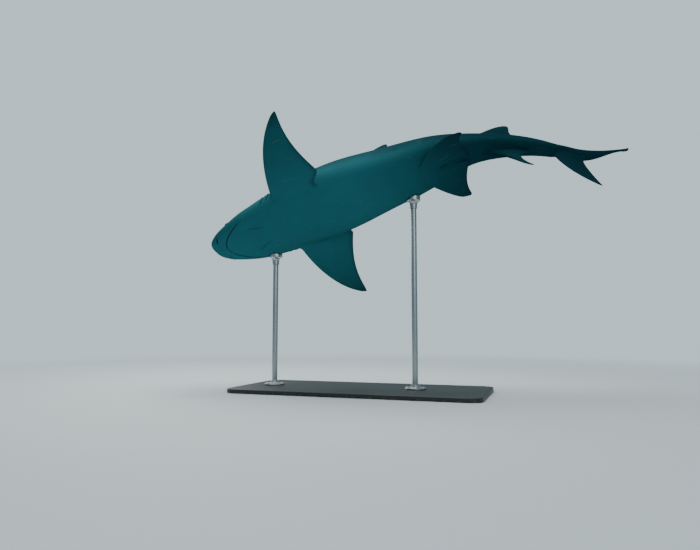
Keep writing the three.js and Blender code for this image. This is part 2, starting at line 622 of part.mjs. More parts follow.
// Two upright rods, each in a foot flange on the base and under a saddle. A rubber pad lines the
// saddle and fits the belly.
const RODS = { front: 0.14, rear: 0.46 };
const ROD_RADIUS = 14;
const FLANGE_RADIUS = 52;
const FLANGE_HEIGHT = 22;
const FLANGE_RIM = 8;
const FLANGE_WALL = 8; // of the sleeve round the rod
const FLANGE_SLOPE = [2, 3]; // out and up, of the chamfer between the rim and the sleeve
const SADDLE_RADIUS = 34;
const SADDLE_DROP = 34; // how far the saddle's cup reaches below the belly
const SADDLE_NECK = 20;
const SADDLE_WALL = 4; // of the neck, beyond the rod's radius
const CUP_SIDE = [-10, 30]; // from and to where the cup's side runs up, from the belly's lowest point
const PAD_THICKNESS = 3;
const PAD_REACH = 0.022; // how far fore and aft of the rod the pad's shape is taken from the body
const ROUND = 24;
Object.entries(RODS).forEach(([name, place]) => {
  const [x, y, z] = lowestPoint(place);
  const turned = (profile) => {
    const shape = new THREE.LatheGeometry(profile.map(([r, h]) => new THREE.Vector2(r, h)), ROUND);
    return solidOf(shape.rotateX(Math.PI / 2).translate(x, y, 0));
  };
  const saddleFoot = z - SADDLE_DROP - SADDLE_NECK;
  const floor = BASE_HEIGHT + GAP;
  const bore = ROD_RADIUS + GAP;
  const sleeve = ROD_RADIUS + FLANGE_WALL;
  const neck = ROD_RADIUS + SADDLE_WALL;
  const [inside, above] = CUP_SIDE.map((height) => z + height);
  const grown = (distance) => (
    bodyLength(place - PAD_REACH, place + PAD_REACH, 5, { grow: distance / LENGTH }));
  const flange = turned([
    [bore, floor],
    [FLANGE_RADIUS, floor],
    [FLANGE_RADIUS, floor + FLANGE_RIM],
    [sleeve + FLANGE_SLOPE[0], floor + FLANGE_RIM + FLANGE_SLOPE[1]],
    [sleeve, floor + FLANGE_HEIGHT],
    [bore, floor + FLANGE_HEIGHT],
    [bore, floor],
  ]);
  const rod = turned([[0, floor], [ROD_RADIUS, floor], [ROD_RADIUS, saddleFoot], [0, saddleFoot]]);
  const pad = turned([[0, inside], [SADDLE_RADIUS, inside], [SADDLE_RADIUS, above], [0, above]]);
  const saddle = turned([
    [0, saddleFoot + GAP],
    [neck, saddleFoot + GAP],
    [neck, saddleFoot + SADDLE_NECK],
    [SADDLE_RADIUS, inside],
    [SADDLE_RADIUS, above],
    [0, above],
  ]);
  addPiece(`stand_flange_${name}`, flange, STEEL);
  addPiece(`stand_rod_${name}`, rod, STEEL);
  const padSkin = SKIN_CLEARANCE + PAD_THICKNESS;
  addPiece(`stand_pad_${name}`, pad.intersect(grown(padSkin)).subtract(clearance), RUBBER);
  addPiece(`stand_saddle_${name}`, saddle.subtract(grown(padSkin + GAP)), STEEL);
});

export default shark;
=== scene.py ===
import bmesh
import bpy
import numpy as np
from mathutils import Euler, Matrix, Vector
from mathutils.bvhtree import BVHTree
from mathutils.geometry import delaunay_2d_cdt
from mathutils.kdtree import KDTree


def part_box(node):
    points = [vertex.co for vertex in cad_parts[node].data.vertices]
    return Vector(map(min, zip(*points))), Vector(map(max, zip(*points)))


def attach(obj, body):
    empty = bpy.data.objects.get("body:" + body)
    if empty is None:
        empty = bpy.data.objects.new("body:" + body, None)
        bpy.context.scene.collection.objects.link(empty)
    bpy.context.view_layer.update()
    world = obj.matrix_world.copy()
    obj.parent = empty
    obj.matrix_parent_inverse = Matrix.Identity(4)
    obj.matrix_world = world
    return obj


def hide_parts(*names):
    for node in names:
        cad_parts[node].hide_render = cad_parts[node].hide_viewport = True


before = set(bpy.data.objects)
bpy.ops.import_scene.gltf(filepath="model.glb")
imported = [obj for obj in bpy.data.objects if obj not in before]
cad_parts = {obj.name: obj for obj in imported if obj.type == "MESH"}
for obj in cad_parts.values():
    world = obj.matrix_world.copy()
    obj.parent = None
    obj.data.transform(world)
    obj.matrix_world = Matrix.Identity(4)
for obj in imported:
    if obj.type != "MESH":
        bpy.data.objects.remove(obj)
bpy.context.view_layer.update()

# ---------------------------------------------------------------- viewpoint
# The shark is seen from below and from its left, as a visitor sees it who crouches beside the
# stand and looks up past the rods at its belly.


def add_object(name, data):
    """An object of the scene that holds a camera, a light or a mesh."""
    made = bpy.data.objects.new(name, data)
    bpy.context.scene.collection.objects.link(made)
    return made


camera_data = bpy.data.cameras.new("camera")
camera_data.lens = 30.57
camera_data.sensor_width = 36
camera = add_object("camera", camera_data)
camera.location = (0.917, -2.847, 0.320)
camera.rotation_euler = np.radians((95, 0, 18.944))
bpy.context.scene.camera = camera

# ---------------------------------------------------------------- room
# A pale floor in a pale room: a wide soft light overhead and behind the shark leaves its
# belly in soft shade, and a weak one fills from the viewer's side.


def feed(tree, socket, value):
    """Links another node's output to a socket, or gives the socket a plain value."""
    if isinstance(value, bpy.types.NodeSocket):
        tree.links.new(value, socket)
    else:
        socket.default_value = value


def add_node(tree, kind, inputs=None, **settings):
    """A node of a material or group, with its settings and its own inputs' values."""
    made = tree.nodes.new(kind)
    for name, value in settings.items():
        setattr(made, name, value)
    for name, value in (inputs or {}).items():
        feed(tree, made.inputs[name], value)
    return made


def new_material(name):
    """A material, its node tree and its shader."""
    made = bpy.data.materials.new(name)
    made.use_nodes = True
    return made, made.node_tree, made.node_tree.nodes["Principled BSDF"]


FLOOR_REACH = 30
corners = [(-FLOOR_REACH, -FLOOR_REACH, 0), (FLOOR_REACH, -FLOOR_REACH, 0),
           (FLOOR_REACH, FLOOR_REACH, 0), (-FLOOR_REACH, FLOOR_REACH, 0)]
floor_mesh = bpy.data.meshes.new("floor")
floor_mesh.from_pydata(corners, [], [(0, 1, 2, 3)])
floor = add_object("floor", floor_mesh)
floor_paint, tree, shader = new_material("floor_paint")
shader.inputs["Base Color"].default_value = (0.50, 0.55, 0.57, 1)
shader.inputs["Roughness"].default_value = 0.75
# Far from the stand the floor fades into the pale walls, so that no edge shows between them.
spot = add_node(tree, "ShaderNodeTexCoord").outputs["Object"]
far = add_node(tree, "ShaderNodeVectorMath", {0: spot}, operation="LENGTH").outputs["Value"]
fading = add_node(tree, "ShaderNodeMapRange",
                  {"Value": far, "From Min": 0.9, "From Max": 4.6, "To Min": 1, "To Max": 0},
                  interpolation_type="SMOOTHSTEP")
tree.links.new(fading.outputs["Result"], shader.inputs["Alpha"])
floor_mesh.materials.append(floor_paint)

# The walls are seen pale, but give less light than they show, as in a dim hall.
world = bpy.data.worlds.new("room")
world.use_nodes = True
tree = world.node_tree
seen = tree.nodes["Background"]
seen.inputs["Color"].default_value = (0.62, 0.76, 0.82, 1)
seen.inputs["Strength"].default_value = 1.05
fill = add_node(tree, "ShaderNodeBackground", {"Color": (0.50, 0.72, 0.80, 1), "Strength": 0.42})
rays = add_node(tree, "ShaderNodeLightPath").outputs["Is Camera Ray"]
chosen = add_node(tree, "ShaderNodeMixShader", {0: rays, 1: fill.outputs[0], 2: seen.outputs[0]})
tree.links.new(chosen.outputs[0], tree.nodes["World Output"].inputs["Surface"])
bpy.context.scene.world = world


def add_light(name, place, aim, width, power, colour):
    """A square soft light, aimed at a point."""
    data = bpy.data.lights.new(name, "AREA")
    data.size = width
    data.energy = power
    data.color = colour
    lamp = add_object(name, data)
    lamp.location = place
    lamp.rotation_euler = (Vector(aim) - Vector(place)).to_track_quat("-Z", "Y").to_euler()


add_light("overhead", (-0.5, 0.3, 4.0), (0, 0, 0.9), 3.0, 230, (1, 0.98, 0.95))
add_light("behind_head", (-2.6, 1.6, 2.0), (-0.4, 0, 1), 2.0, 30, (0.96, 0.99, 1))
add_light("viewer_side", (2.4, -3.2, 1.9), (0, 0, 1), 2.6, 26, (0.85, 0.96, 1))

# ---------------------------------------------------------------- body
# The shark's body is one firm, tapering form: a flat-bellied blunt head, a deep trunk and a slim
# stalk that runs on into the upper lobe of the tail. Skin, fins and lids are cast in one piece.
# It is laid out straight first, in shares of its length: x back from the snout, y right, z up.

LENGTH = 2.5
STATIONS = np.array([
    (0, 0, 0, 0),
    (0.5, 1.82, 0.69, 0.6),
    (2, 3.06, 1.36, 1.25),
    (4.5, 4.07, 2.08, 1.95),
    (8, 4.97, 2.99, 2.8),
    (13, 5.86, 4.1, 3.7),
    (19, 6.6, 5.1, 4.65),
    (26, 7.09, 6.26, 5.85),
    (33, 7.03, 6.72, 6.32),
    (42, 5.98, 5.98, 5.69),
    (52, 4.63, 4.93, 4.55),
    (60, 2.76, 3.3, 3),
    (68, 1.87, 2.4, 2.15),
    (74.5, 1.3, 1.65, 1.45),
]) / 100
WIDEST_LINE = -0.18
SQUARENESS_TOP = 0.02
SQUARENESS_BELLY = 0.06
TAIL_ROOT = 0.745
DEGREE = np.pi / 180


def unit(v):
    """Vectors along the last axis, made one long."""
    v = np.asarray(v, float)
    return v / np.linalg.norm(v, axis=-1, keepdims=True)


def smooth_curve(points):
    """A curve through points, with slopes from the neighbours on both sides."""
    x, y = np.array(points, float).T
    step = np.diff(x)
    rise = np.diff(y) / step
    slope = np.empty_like(y)
    slope[1:-1] = (rise[:-1] * step[1:] + rise[1:] * step[:-1]) / (step[:-1] + step[1:])
    slope[0] = 1.5 * rise[0] - 0.5 * slope[1]
    slope[-1] = 1.5 * rise[-1] - 0.5 * slope[-2]

    def read(at):
        i = np.clip(np.searchsorted(x, at) - 1, 0, len(x) - 2)
        u = (at - x[i]) / step[i]
        v = 1 - u
        ends = (1 + 2 * u) * v * v * y[i] + u * u * (3 - 2 * u) * y[i + 1]
        return ends + u * v * step[i] * (v * slope[i] - u * slope[i + 1])

    return read


def bezier(control, count):
    """Points along a Bezier curve of three or four control points."""
    p = np.array(control, float)
    s = np.linspace(0, 1, count)[:, None]
    if len(p) == 3:
        return (1 - s) ** 2 * p[0] + 2 * (1 - s) * s * p[1] + s * s * p[2]
    near = (1 - s) ** 3 * p[0] + 3 * (1 - s) ** 2 * s * p[1]
    return near + 3 * (1 - s) * s * s * p[2] + s ** 3 * p[3]


def station_curve(measure):
    """One measure of the body along its length: 1 half width, 2 reach up, 3 reach down."""
    read = smooth_curve(np.column_stack([np.sqrt(STATIONS[:, 0]), STATIONS[:, measure]]))
    return lambda t: read(np.sqrt(t))


half_width = station_curve(1)
top = station_curve(2)
depth = station_curve(3)

# The upper lobe of the tail: its back edge, its lower edge and half its thickness.
TAIL_TIP = np.array([0.2254, 0.1456])
LOWER_TIP = np.array([0.0739, -0.1182])
FORK = np.array([0.0675, -0.0088])
LOWER_START = np.array([0.0035, -0.0168])
LOBE_BLEND = 0.03
LOBE_SHARPNESS = 0.7
LOBE_MIDDLE = 0.58
root = np.array([TAIL_ROOT, 0])
tail_end = root + TAIL_TIP
notch = tail_end + (-0.03, -0.03)
back_edge = bezier([
    (TAIL_ROOT, top(TAIL_ROOT)), root + (0.0443, 0.0335), tail_end + (-0.0706, -0.0404), tail_end], 80)
under_edge = np.vstack([
    [(TAIL_ROOT, -depth(TAIL_ROOT))],
    bezier([root + LOWER_START, root + (0.04, -0.012), root + FORK], 16),
    bezier([root + FORK, root + FORK + (0.03, 0.022), tail_end + (-0.07, -0.05), notch], 32)[1:],
    bezier([notch, tail_end + (-0.014, -0.028), tail_end + (-0.003, -0.012), tail_end], 24)[1:],
])
lobe_half = smooth_curve([
    (0, 0.013), (0.03, 0.0096), (0.07, 0.0064), (0.13, 0.0037), (0.2, 0.0016), (0.24, 0.0009)])


def ring(t):
    """Half width, reach up, reach down, middle height, sharpness and fullness of the ring at t."""
    t = np.asarray(t, float)
    body = np.clip(t, 0, TAIL_ROOT)
    past = np.clip((t - TAIL_ROOT) / LOBE_BLEND, 0, 1)
    in_tail = t > TAIL_ROOT
    middle = WIDEST_LINE * depth(body)
    high = np.where(in_tail, np.interp(t, *back_edge.T), top(body))
    low = np.where(in_tail, np.interp(t, *under_edge.T), -depth(body))
    middle = middle + (low + LOBE_MIDDLE * (high - low) - middle) * past
    wide = np.where(in_tail, lobe_half(t - TAIL_ROOT), half_width(body))
    return wide, high - middle, middle - low, middle, 1 + LOBE_SHARPNESS * past, 1 - past


def fullness(angle, fade):
    """How much further out than an ellipse the skin lies."""
    swell = np.where(np.sin(angle) > 0, SQUARENESS_TOP, SQUARENESS_BELLY)
    return 1 + swell * fade * np.sin(2 * angle) ** 2


def body_point(t, angle):
    """The point of the straight body's surface at a place along it and an angle round it."""
    wide, up, down, middle, sharp, fade = ring(t)
    c, s = np.cos(angle), np.sin(angle)
    full = fullness(angle, fade)
    y = wide * np.sign(c) * np.abs(c) ** sharp * full
    z = middle + np.where(s > 0, up, down) * s * full
    return np.stack([t + 0 * y, y, z], -1)


def body_place(q):
    """Place along the body, angle round it, and how far out a point lies: 1 is on the skin."""
    wide, up, down, middle, sharp, fade = ring(q[..., 0])
    s = (q[..., 2] - middle) / np.where(q[..., 2] > middle, up, down)
    c = np.sign(q[..., 1]) * np.abs(q[..., 1] / wide) ** (1 / sharp)
    angle = np.arctan2(s, c)
    return q[..., 0], angle, np.hypot(s, c) / fullness(angle, fade)


def body_normal(t, angle):
    """The outward direction of the straight body's surface."""
    nudge = 0.0004
    around = body_point(t, angle + nudge) - body_point(t, angle - nudge)
    back = body_point(t + nudge, angle) - body_point(np.maximum(t - nudge, 1e-5), angle)
    return unit(np.cross(around, back))


class Skin:
    """The skin while it is sewn together: points, lines that its mesh keeps, holes and faces."""

    def __init__(self):
        self.count = 0
        self.on_body = []
        self.patches = []
        self.lines = []
        self.holes = []
        self.faces = []
        self.reliefs = []

    def add_points(self, t, angle):
        """Points on the body's surface; the answer is their numbers."""
        t, angle = np.broadcast_arrays(np.asarray(t, float), np.asarray(angle, float))
        numbers = self.count + np.arange(t.size).reshape(t.shape)
        self.on_body.append((numbers.ravel(), t.ravel(), angle.ravel()))
        self.count += t.size
        return numbers

    def add_line(self, numbers, closed=False):
        """A line that the mesh keeps as edges, through points that were added."""
        ends = np.roll(numbers, -1) if closed else numbers[1:]
        starts = numbers if closed else numbers[:-1]
        self.lines.extend(zip(starts.tolist(), ends.tolist()))

    def add_patch(self, t, angle, rings, hold, **marks):
        """Closed rings of points that fill a hole in the body, whose edge lies at t, angle.

        hold is how far each ring follows the edge's own relief; marks are looks for each point,
        or one for each ring or for each place round it.
        """
        edge = self.add_points(t, angle)
        self.add_line(edge, closed=True)
        self.holes.append(edge)
        numbers = self.count + np.arange(rings.shape[0] * rings.shape[1]).reshape(rings.shape[:2])
        self.count += numbers.size
        self.patches.append((edge, numbers, rings, np.asarray(hold), marks))
        stack = np.vstack([edge[None], numbers])
        ahead = np.roll(stack, -1, axis=1)
        quads = np.stack([stack[:-1], ahead[:-1], ahead[1:], stack[1:]], -1).reshape(-1, 4)
        self.faces.extend(quads.tolist())
        return numbers

    def close_flat(self, ends):
        """Closes a ring that is flattened from its first point to the one half way round."""
        around = len(ends)
        for k in range(around // 2):
            quad = [ends[k], ends[k + 1], ends[-k - 1], ends[-k % around]]
            self.faces.append([int(n) for n in dict.fromkeys(quad)])


skin = Skin()

# ---------------------------------------------------------------- fins
# Each fin is a stiff blade on rods of horn inside the skin: rounded in front, thin behind, with a
# free rear tip that overhangs its base. Its skin runs down into the body's in a soft fillet.

FIN_EDGE = 0.0017 / LENGTH
FIN_ROW = 0.0085
TIP_CENTRE = 0.7
TIP_ROUNDING = 1.3
SHORTEST_CHORD = 0.0009
FLARE_REACH = 0.012
FOOT_TRIES = 240
FOOT_HALVINGS = 20


def round_angles(count):
    """Evenly spread angles once round."""
    return np.arange(count) / count * 2 * np.pi


def wing_section(c):
    """Share of the greatest thickness at a share of the chord."""
    bulge = 0.2969 * np.sqrt(c) - 0.126 * c - 0.3516 * c ** 2 + 0.2843 * c ** 3 - 0.1015 * c ** 4
    return bulge / 0.1


def add_fin(front, rear, inner, origin, back, out, thick, flare, blunt, fillet, around, sunk, shade):
    """A fin from its outline in its own plane, sewn to the body with a fillet.

    front, rear and inner are the outline's curves, blunt is what the rounded tip takes off its
    point, sunk is how deep its root starts inside the body, and shade is how dark its two faces
    are, from -1 as the belly to 1 as the back.
    """
    face = unit(np.cross(back, out))
    lead = bezier(front, 60)
    trail = np.vstack([bezier(rear, 60), bezier(inner, 30)[1:]])[::-1]
    reach = lead[-1, 1] - blunt
    turn = round_angles(around)
    chord = (1 - np.cos(turn)) / 2
    side = np.where(np.abs(np.sin(turn)) > 1e-9, np.sign(np.sin(turn)), 0)
    soften = np.abs(np.sin(turn)) ** 0.35

    def blade(v):
        """The fin's ring of points, each at its own distance v out from the base."""
        shown = np.clip(v, 0, reach * 0.9998)
        start = np.interp(shown, lead[:, 1], lead[:, 0])
        end = np.interp(shown, trail[:, 1], trail[:, 0])
        closing = np.clip(1 - (reach - shown) / (TIP_ROUNDING * blunt), 0, 1)
        kept = np.sqrt(1 - closing ** 2)
        centre = start + TIP_CENTRE * (end - start)
        start = centre + (start - centre) * kept
        end = np.maximum(centre + (end - centre) * kept, start + SHORTEST_CHORD)
        full = thick * (1 - 0.9 * shown / reach) + flare * np.exp(-shown / FLARE_REACH)
        half = full * wing_section(chord) / 2 + FIN_EDGE / 2 * soften
        half = np.minimum(half, 0.5 * (end - start))
        u = start + (end - start) * chord
        return origin + u[..., None] * back + v[..., None] * out + (side * half)[..., None] * face

    tries = np.linspace(-sunk, 0.6 * reach, FOOT_TRIES)
    inside = np.array([body_place(blade(np.full(around, v)))[2] < 1 for v in tries])
    last = len(tries) - 1 - np.argmax(inside[::-1], axis=0)
    low = tries[last]
    high = tries[np.minimum(last + 1, len(tries) - 1)]
    for _ in range(FOOT_HALVINGS):
        half_way = (low + high) / 2
        within = body_place(blade(half_way))[2] < 1
        low, high = np.where(within, half_way, low), np.where(within, high, half_way)
    foot = blade(low)
    away = -np.cos(turn)[:, None] * back + np.sin(turn)[:, None] * face
    t, angle, _ = body_place(foot + fillet * away)
    border = body_point(t, angle)
    rise = low + fillet
    bend = np.array([0.8, 0.6, 0.4, 0.2, 0])
    rings = [(1 - s) ** 2 * blade(rise) + 2 * s * (1 - s) * foot + s * s * border for s in bend]
    count = max(14, int(reach * LENGTH / FIN_ROW))
    spread = np.sin(np.linspace(0, 1, count + 1)[1:] * np.pi / 2)
    rings += [blade(rise + (reach - rise) * s) for s in spread]
    out_share = np.concatenate([0 * bend, spread])[:, None]
    fin_share = np.concatenate([1 - bend ** 1.5, 1 + 0 * spread])[:, None]
    tone = 0.5 * (shade[0] + shade[1]) + 0.5 * (shade[0] - shade[1]) * np.clip(3 * np.sin(turn), -1, 1)
    numbers = skin.add_patch(
        t, angle, np.array(rings), np.concatenate([bend ** 2, 0 * spread]),
        tone=np.sin(angle) * (1 - fin_share) + tone * fin_share,
        fin=fin_share,
        margin=np.maximum(1 - np.minimum(1, 9 * (1 - chord)), np.clip(out_share * 5 - 4, 0, 1)),
        chord=chord,
        span=out_share)
    skin.close_flat(numbers[-1])


# Pectoral fins: long swept blades low on the flanks, dark above and pale below.
PECTORAL_PLACE = 0.1983
PECTORAL_SPAN = 0.1785
PECTORAL_SWEEP = 33 * DEGREE
tip = PECTORAL_SPAN * np.array([np.sin(PECTORAL_SWEEP), np.cos(PECTORAL_SWEEP)])
for side, droop, swing, pitch in ((-1, -7.8, 2.5, -13.9), (1, 12.4, 2.3, 10.7)):
    droop, swing, pitch = droop * DEGREE, swing * DEGREE, pitch * DEGREE
    flat = np.array([0, side * np.cos(droop), -np.sin(droop)])
    above = np.array([0, side * np.sin(droop), np.cos(droop)])
    level = np.cos(pitch) * np.array([1, 0, 0]) + np.sin(pitch) * above
    low_on_flank = np.array([0, side * 0.86 * half_width(PECTORAL_PLACE), -0.52 * depth(PECTORAL_PLACE)])
    add_fin(
        front=[(0, 0), (0.0125, 0.062), tip + (-0.0545, -0.03), tip],
        rear=[tip, tip + (-0.003, -0.03), (0.0833, 0.0871), (0.1165, 0.018)],
        inner=[(0.1165, 0.018), (0.1145, 0.006), (0.0984, 0)],
        origin=low_on_flank + (PECTORAL_PLACE, 0, 0),
        back=np.cos(swing) * level + np.sin(swing) * flat,
        out=np.cos(swing) * flat - np.sin(swing) * level,
        thick=0.0135, flare=0.005, blunt=0.0035, fillet=0.0075, around=72, sunk=0.035,
        shade=(0.75, -0.85) if side > 0 else (-0.85, 0.75))

# Pelvic fins: a pair of broad triangles under the rear of the belly.
PELVIC_PLACE = 0.4843
PELVIC_DROOP = 20.7 * DEGREE
PELVIC_TOE = 0.1
tip = np.array([0.0935, 0.0735])
for side in (-1, 1):
    back = unit((1, -side * PELVIC_TOE, 0.1))
    slope = np.array([0, side * np.cos(PELVIC_DROOP), -np.sin(PELVIC_DROOP)])
    add_fin(
        front=[(0, 0), (0.0275, 0.0333), tip + (-0.0418, 0), tip],
        rear=[tip, tip + (-0.004, -0.014), (0.0776, 0.0491), (0.1074, 0.0037)],
        inner=[(0.1074, 0.0037), (0.094, 0.001), (0.062, 0)],
        origin=np.array([PELVIC_PLACE, side * 0.2 * half_width(PELVIC_PLACE), -0.88 * depth(PELVIC_PLACE)]),
        back=back,
        out=unit(slope - slope.dot(back) * back),
        thick=0.0095, flare=0.003, blunt=0.003, fillet=0.0042, around=52, sunk=0.016,
        shade=(0.35, -0.9) if side > 0 else (-0.9, 0.35))

# Fins on the midline: two dorsal fins, nearly alike, and the anal fin.
MIDLINE_FINS = [
    dict(place=0.3129, base=0.1, above=True, lean=1.3, thick=0.0125, blunt=0.0015, tip=(0.1105, 0.0912),
         front=(0.034, 0.05), shoulder=(-0.052, -0.0005), rear=(0.01, -0.02), hollow=(0.108, 0.036),
         free=(0.138, 0.01), inner=((0.125, 0.004), (0.1, 0)), fillet=0.006, shade=0.95),
    dict(place=0.5855, base=0.082, above=True, lean=-3.2, thick=0.009, blunt=0.0012, tip=(0.0801, 0.0606),
         front=(0.0385, 0.0262), shoulder=(-0.0251, -0.0015), rear=(0.0093, -0.0167), hollow=(0.0724, 0.0192),
         free=(0.1146, 0.008), inner=((0.102, 0.003), (0.082, 0)), fillet=0.0042, shade=0.95),
    dict(place=0.6134, base=0.072, above=False, lean=-0.6, thick=0.008, blunt=0.001, tip=(0.086, 0.0653),
         front=(0.0583, 0.0187), shoulder=(-0.028, -0.002), rear=(-0.0176, -0.0182), hollow=(0.0537, 0.0106),
         free=(0.1, 0.008), inner=((0.09, 0.003), (0.072, 0)), fillet=0.0038, shade=-0.15),
]
for fin in MIDLINE_FINS:
    start, end = fin["place"], fin["place"] + fin["base"]
    height = [top(t) if fin["above"] else -depth(t) for t in (start, end)]
    back = unit((end - start, 0, height[1] - height[0]))
    square = np.array([-back[2], 0, back[0]]) * (1 if fin["above"] else -1)
    lean = fin["lean"] * DEGREE
    tip = np.array(fin["tip"])
    add_fin(
        front=[(0, 0), fin["front"], tip + fin["shoulder"], tip],
        rear=[tip, tip + fin["rear"], fin["hollow"], fin["free"]],
        inner=[fin["free"], *fin["inner"]],
        origin=np.array([start, 0, height[0]]),
        back=back,
        out=np.cos(lean) * square + np.sin(lean) * np.array([0, 1, 0]),
        thick=fin["thick"], flare=0.003, blunt=fin["blunt"], fillet=fin["fillet"], around=56, sunk=0.014,
        shade=(fin["shade"], fin["shade"]))

# Lower lobe of the tail, hung from the underside of the upper lobe.
lower_back = unit(FORK - LOWER_START)
lower_out = np.array([lower_back[1], -lower_back[0]])


def in_lower_lobe(points):
    """Points of the tail's outline in the lower lobe's own plane."""
    moved = np.array(points, float) - LOWER_START
    return np.column_stack([moved @ lower_back, moved @ lower_out])


rear_corner = FORK + (-0.001, -0.004)
add_fin(
    front=in_lower_lobe([LOWER_START, (0.0099, -0.0563), LOWER_TIP + (-0.0428, 0.0137), LOWER_TIP]),
    rear=in_lower_lobe([LOWER_TIP, LOWER_TIP + (-0.0048, 0.0275), FORK + (-0.006, -0.03), rear_corner]),
    inner=in_lower_lobe([rear_corner, FORK + (-0.001, -0.002), FORK]),
    origin=np.array([TAIL_ROOT + LOWER_START[0], 0, LOWER_START[1]]),
    back=np.array([lower_back[0], 0, lower_back[1]]),
    out=np.array([lower_out[0], 0, lower_out[1]]),
    thick=0.009, flare=0.001, blunt=0.0015, fillet=0.0038, around=52, sunk=0.008,
    shade=(0.35, 0.35))

# ---------------------------------------------------------------- eye sockets
# The eye looks out between a firm upper lid and a softer lower one, with the edge of the third
# lid just showing below. The lids are part of the skin and hug the ball.

EYE_PLACE = 0.068
EYE_ANGLE = 17 * DEGREE
EYE_RADIUS = 0.017 / LENGTH
EYE_PROUD = 0.0055 / LENGTH
EYE_POINTS = 64
LID_HALF_HEIGHT = 40 * DEGREE
LID_HALF_LENGTH = 50 * DEGREE
eyes = []


def surface_frame(t, angle):
    """A point of the straight body's surface, and the ways outwards and backwards there."""
    out = body_normal(t, angle)
    return body_point(t, angle), out, unit(np.array([1.0, 0, 0]) - out[0] * out)


def column(values):
    """One value for each ring of a patch."""
    return np.array(values, float)[:, None]


for angle in (EYE_ANGLE, np.pi - EYE_ANGLE):
    place, out, back = surface_frame(EYE_PLACE, angle)
    up = unit(np.cross(out, back))
    up = up * np.sign(up[2])
    centre = place + (EYE_PROUD - EYE_RADIUS) * out
    eyes.append((centre, out, back))
    turn = round_angles(EYE_POINTS)
    c, s = np.cos(turn), np.sin(turn)
    lid = np.arcsin(np.hypot(s / np.sin(LID_HALF_HEIGHT), c / np.sin(LID_HALF_LENGTH)) ** -1)

    def on_ball(opening, clear):
        """A ring round the eye: its half angle seen from the ball's centre, and its clearance."""
        away = c[:, None] * back + s[:, None] * up
        direction = np.cos(opening)[:, None] * out + np.sin(opening)[:, None] * away
        return centre + (EYE_RADIUS + np.broadcast_to(clear, s.shape)[:, None] / LENGTH) * direction

    border_reach = (0.0265 * c ** 2 + 0.0225 * s ** 2) / LENGTH
    t, round_angle, _ = body_place(place + border_reach[:, None] * (c[:, None] * back + s[:, None] * up))
    border = body_point(t, round_angle)
    brow = 0.0006 * np.clip(s, 0, 1)
    crest = on_ball(lid + 5 * DEGREE, 0.0022 + brow)
    foot = on_ball(lid + 16 * DEGREE, 0.0014 + brow)
    below = np.clip(-s, 0, 1) ** 0.7
    rings = [(1 - k) ** 2 * border + 2 * k * (1 - k) * foot + k * k * crest
             for k in (0.22, 0.42, 0.6, 0.78, 0.9, 1)]
    rings += [
        on_ball(lid + 2.2 * DEGREE, 0.0022 + brow),
        on_ball(lid + 0.4 * DEGREE, 0.0016 + brow),
        on_ball(lid - 0.4 * DEGREE, 0.0009 + brow),
        on_ball(lid + 0.2 * DEGREE, 0.0005),
        on_ball(lid - 1.5 * DEGREE - 5 * DEGREE * below, 0.0006),
        on_ball(lid - 2.2 * DEGREE - 6 * DEGREE * below, 0.0002),
        on_ball(lid - 2 * DEGREE - 5 * DEGREE * below, -0.002),
        on_ball(lid * 0.5, -0.006),
        on_ball(lid * 0.1, -0.008),
    ]
    hold = [0.7, 0.4, 0.2] + [0] * 12
    # Painted shade for each ring, deepest where the lids meet the ball and inside the socket.
    fold = [0, 0, 0, 0, 0, 0.1, 0.25, 0.5, 0.8, 1, 0.6, 0.8, 1, 1, 1]
    numbers = skin.add_patch(
        t, round_angle, np.array(rings), hold,
        tone=np.sin(round_angle),
        fold=column(fold),
        lid=column([0, 0, 0, 0.1, 0.3, 0.7] + [1] * 9))
    skin.close_flat(numbers[-1])

# ---------------------------------------------------------------- nostrils
# Two slanting openings under the snout, each with a small skin flap that hangs over it from
# the front and splits the water's way in from its way out.

NOSTRIL_PLACE = 0.033
NOSTRIL_ANGLE = -48 * DEGREE
NOSTRIL_LONG = 0.0165
NOSTRIL_WIDE = 0.0058
NOSTRIL_SLANT = 35 * DEGREE
NOSTRIL_POINTS = 56
# Each ring: how far it is grown, how high it lies and how far the flap pushes it, in metres.
NOSTRIL_RINGS = [
    (0.0052, 0.0002, 0), (0.0032, 0.0008, 0), (0.0016, 0.0012, 0.001), (0.0005, 0.0009, 0.0035),
    (-0.0003, -0.0004, 0.0042), (-0.0004, -0.002, 0.003), (-0.0012, -0.005, 0.001),
    (-0.003, -0.0075, 0), (-0.0048, -0.0085, 0),
]
for angle, slant in ((NOSTRIL_ANGLE, NOSTRIL_SLANT), (np.pi - NOSTRIL_ANGLE, np.pi - NOSTRIL_SLANT)):
    place, out, back = surface_frame(NOSTRIL_PLACE, angle)
    around = unit(body_point(NOSTRIL_PLACE, angle + 0.01) - place)
    around = unit(around - around.dot(back) * back)
    long = np.cos(slant) * around + np.sin(slant) * back
    across = unit(np.cross(out, long))
    across = across * np.sign(across[0])
    turn = round_angles(NOSTRIL_POINTS)
    c, s = np.cos(turn), np.sin(turn)
    flap = np.exp(-((c + 0.1) / 0.32) ** 2) * (s < 0)

    def oval(grow, lift, lobe):
        """A ring round the nostril, grown and lifted in metres, its front pushed back by the flap."""
        along = (NOSTRIL_LONG + grow) * c
        over = (NOSTRIL_WIDE + grow) * s + lobe * flap
        return place + (along[:, None] * long + over[:, None] * across + lift * out) / LENGTH

    t, round_angle, _ = body_place(oval(0.0075, 0, 0))
    border = body_point(t, round_angle)
    rings = [oval(*shape) for shape in NOSTRIL_RINGS]
    # The nostril's inner rings get painted shade, deepest in the opening.
    numbers = skin.add_patch(
        t, round_angle, np.array(rings), [0.6, 0.3] + [0] * 7,
        tone=np.sin(round_angle),
        fold=column([0, 0, 0, 0.15, 0.55, 0.85, 1, 1, 1]))
    skin.close_flat(numbers[-1])

# ---------------------------------------------------------------- lines in the skin
# The closed mouth, the gill slits and other folds are grooves in the one skin. Each gets rows of
# close points on both sides, so that the groove is cut cleanly in the mesh.

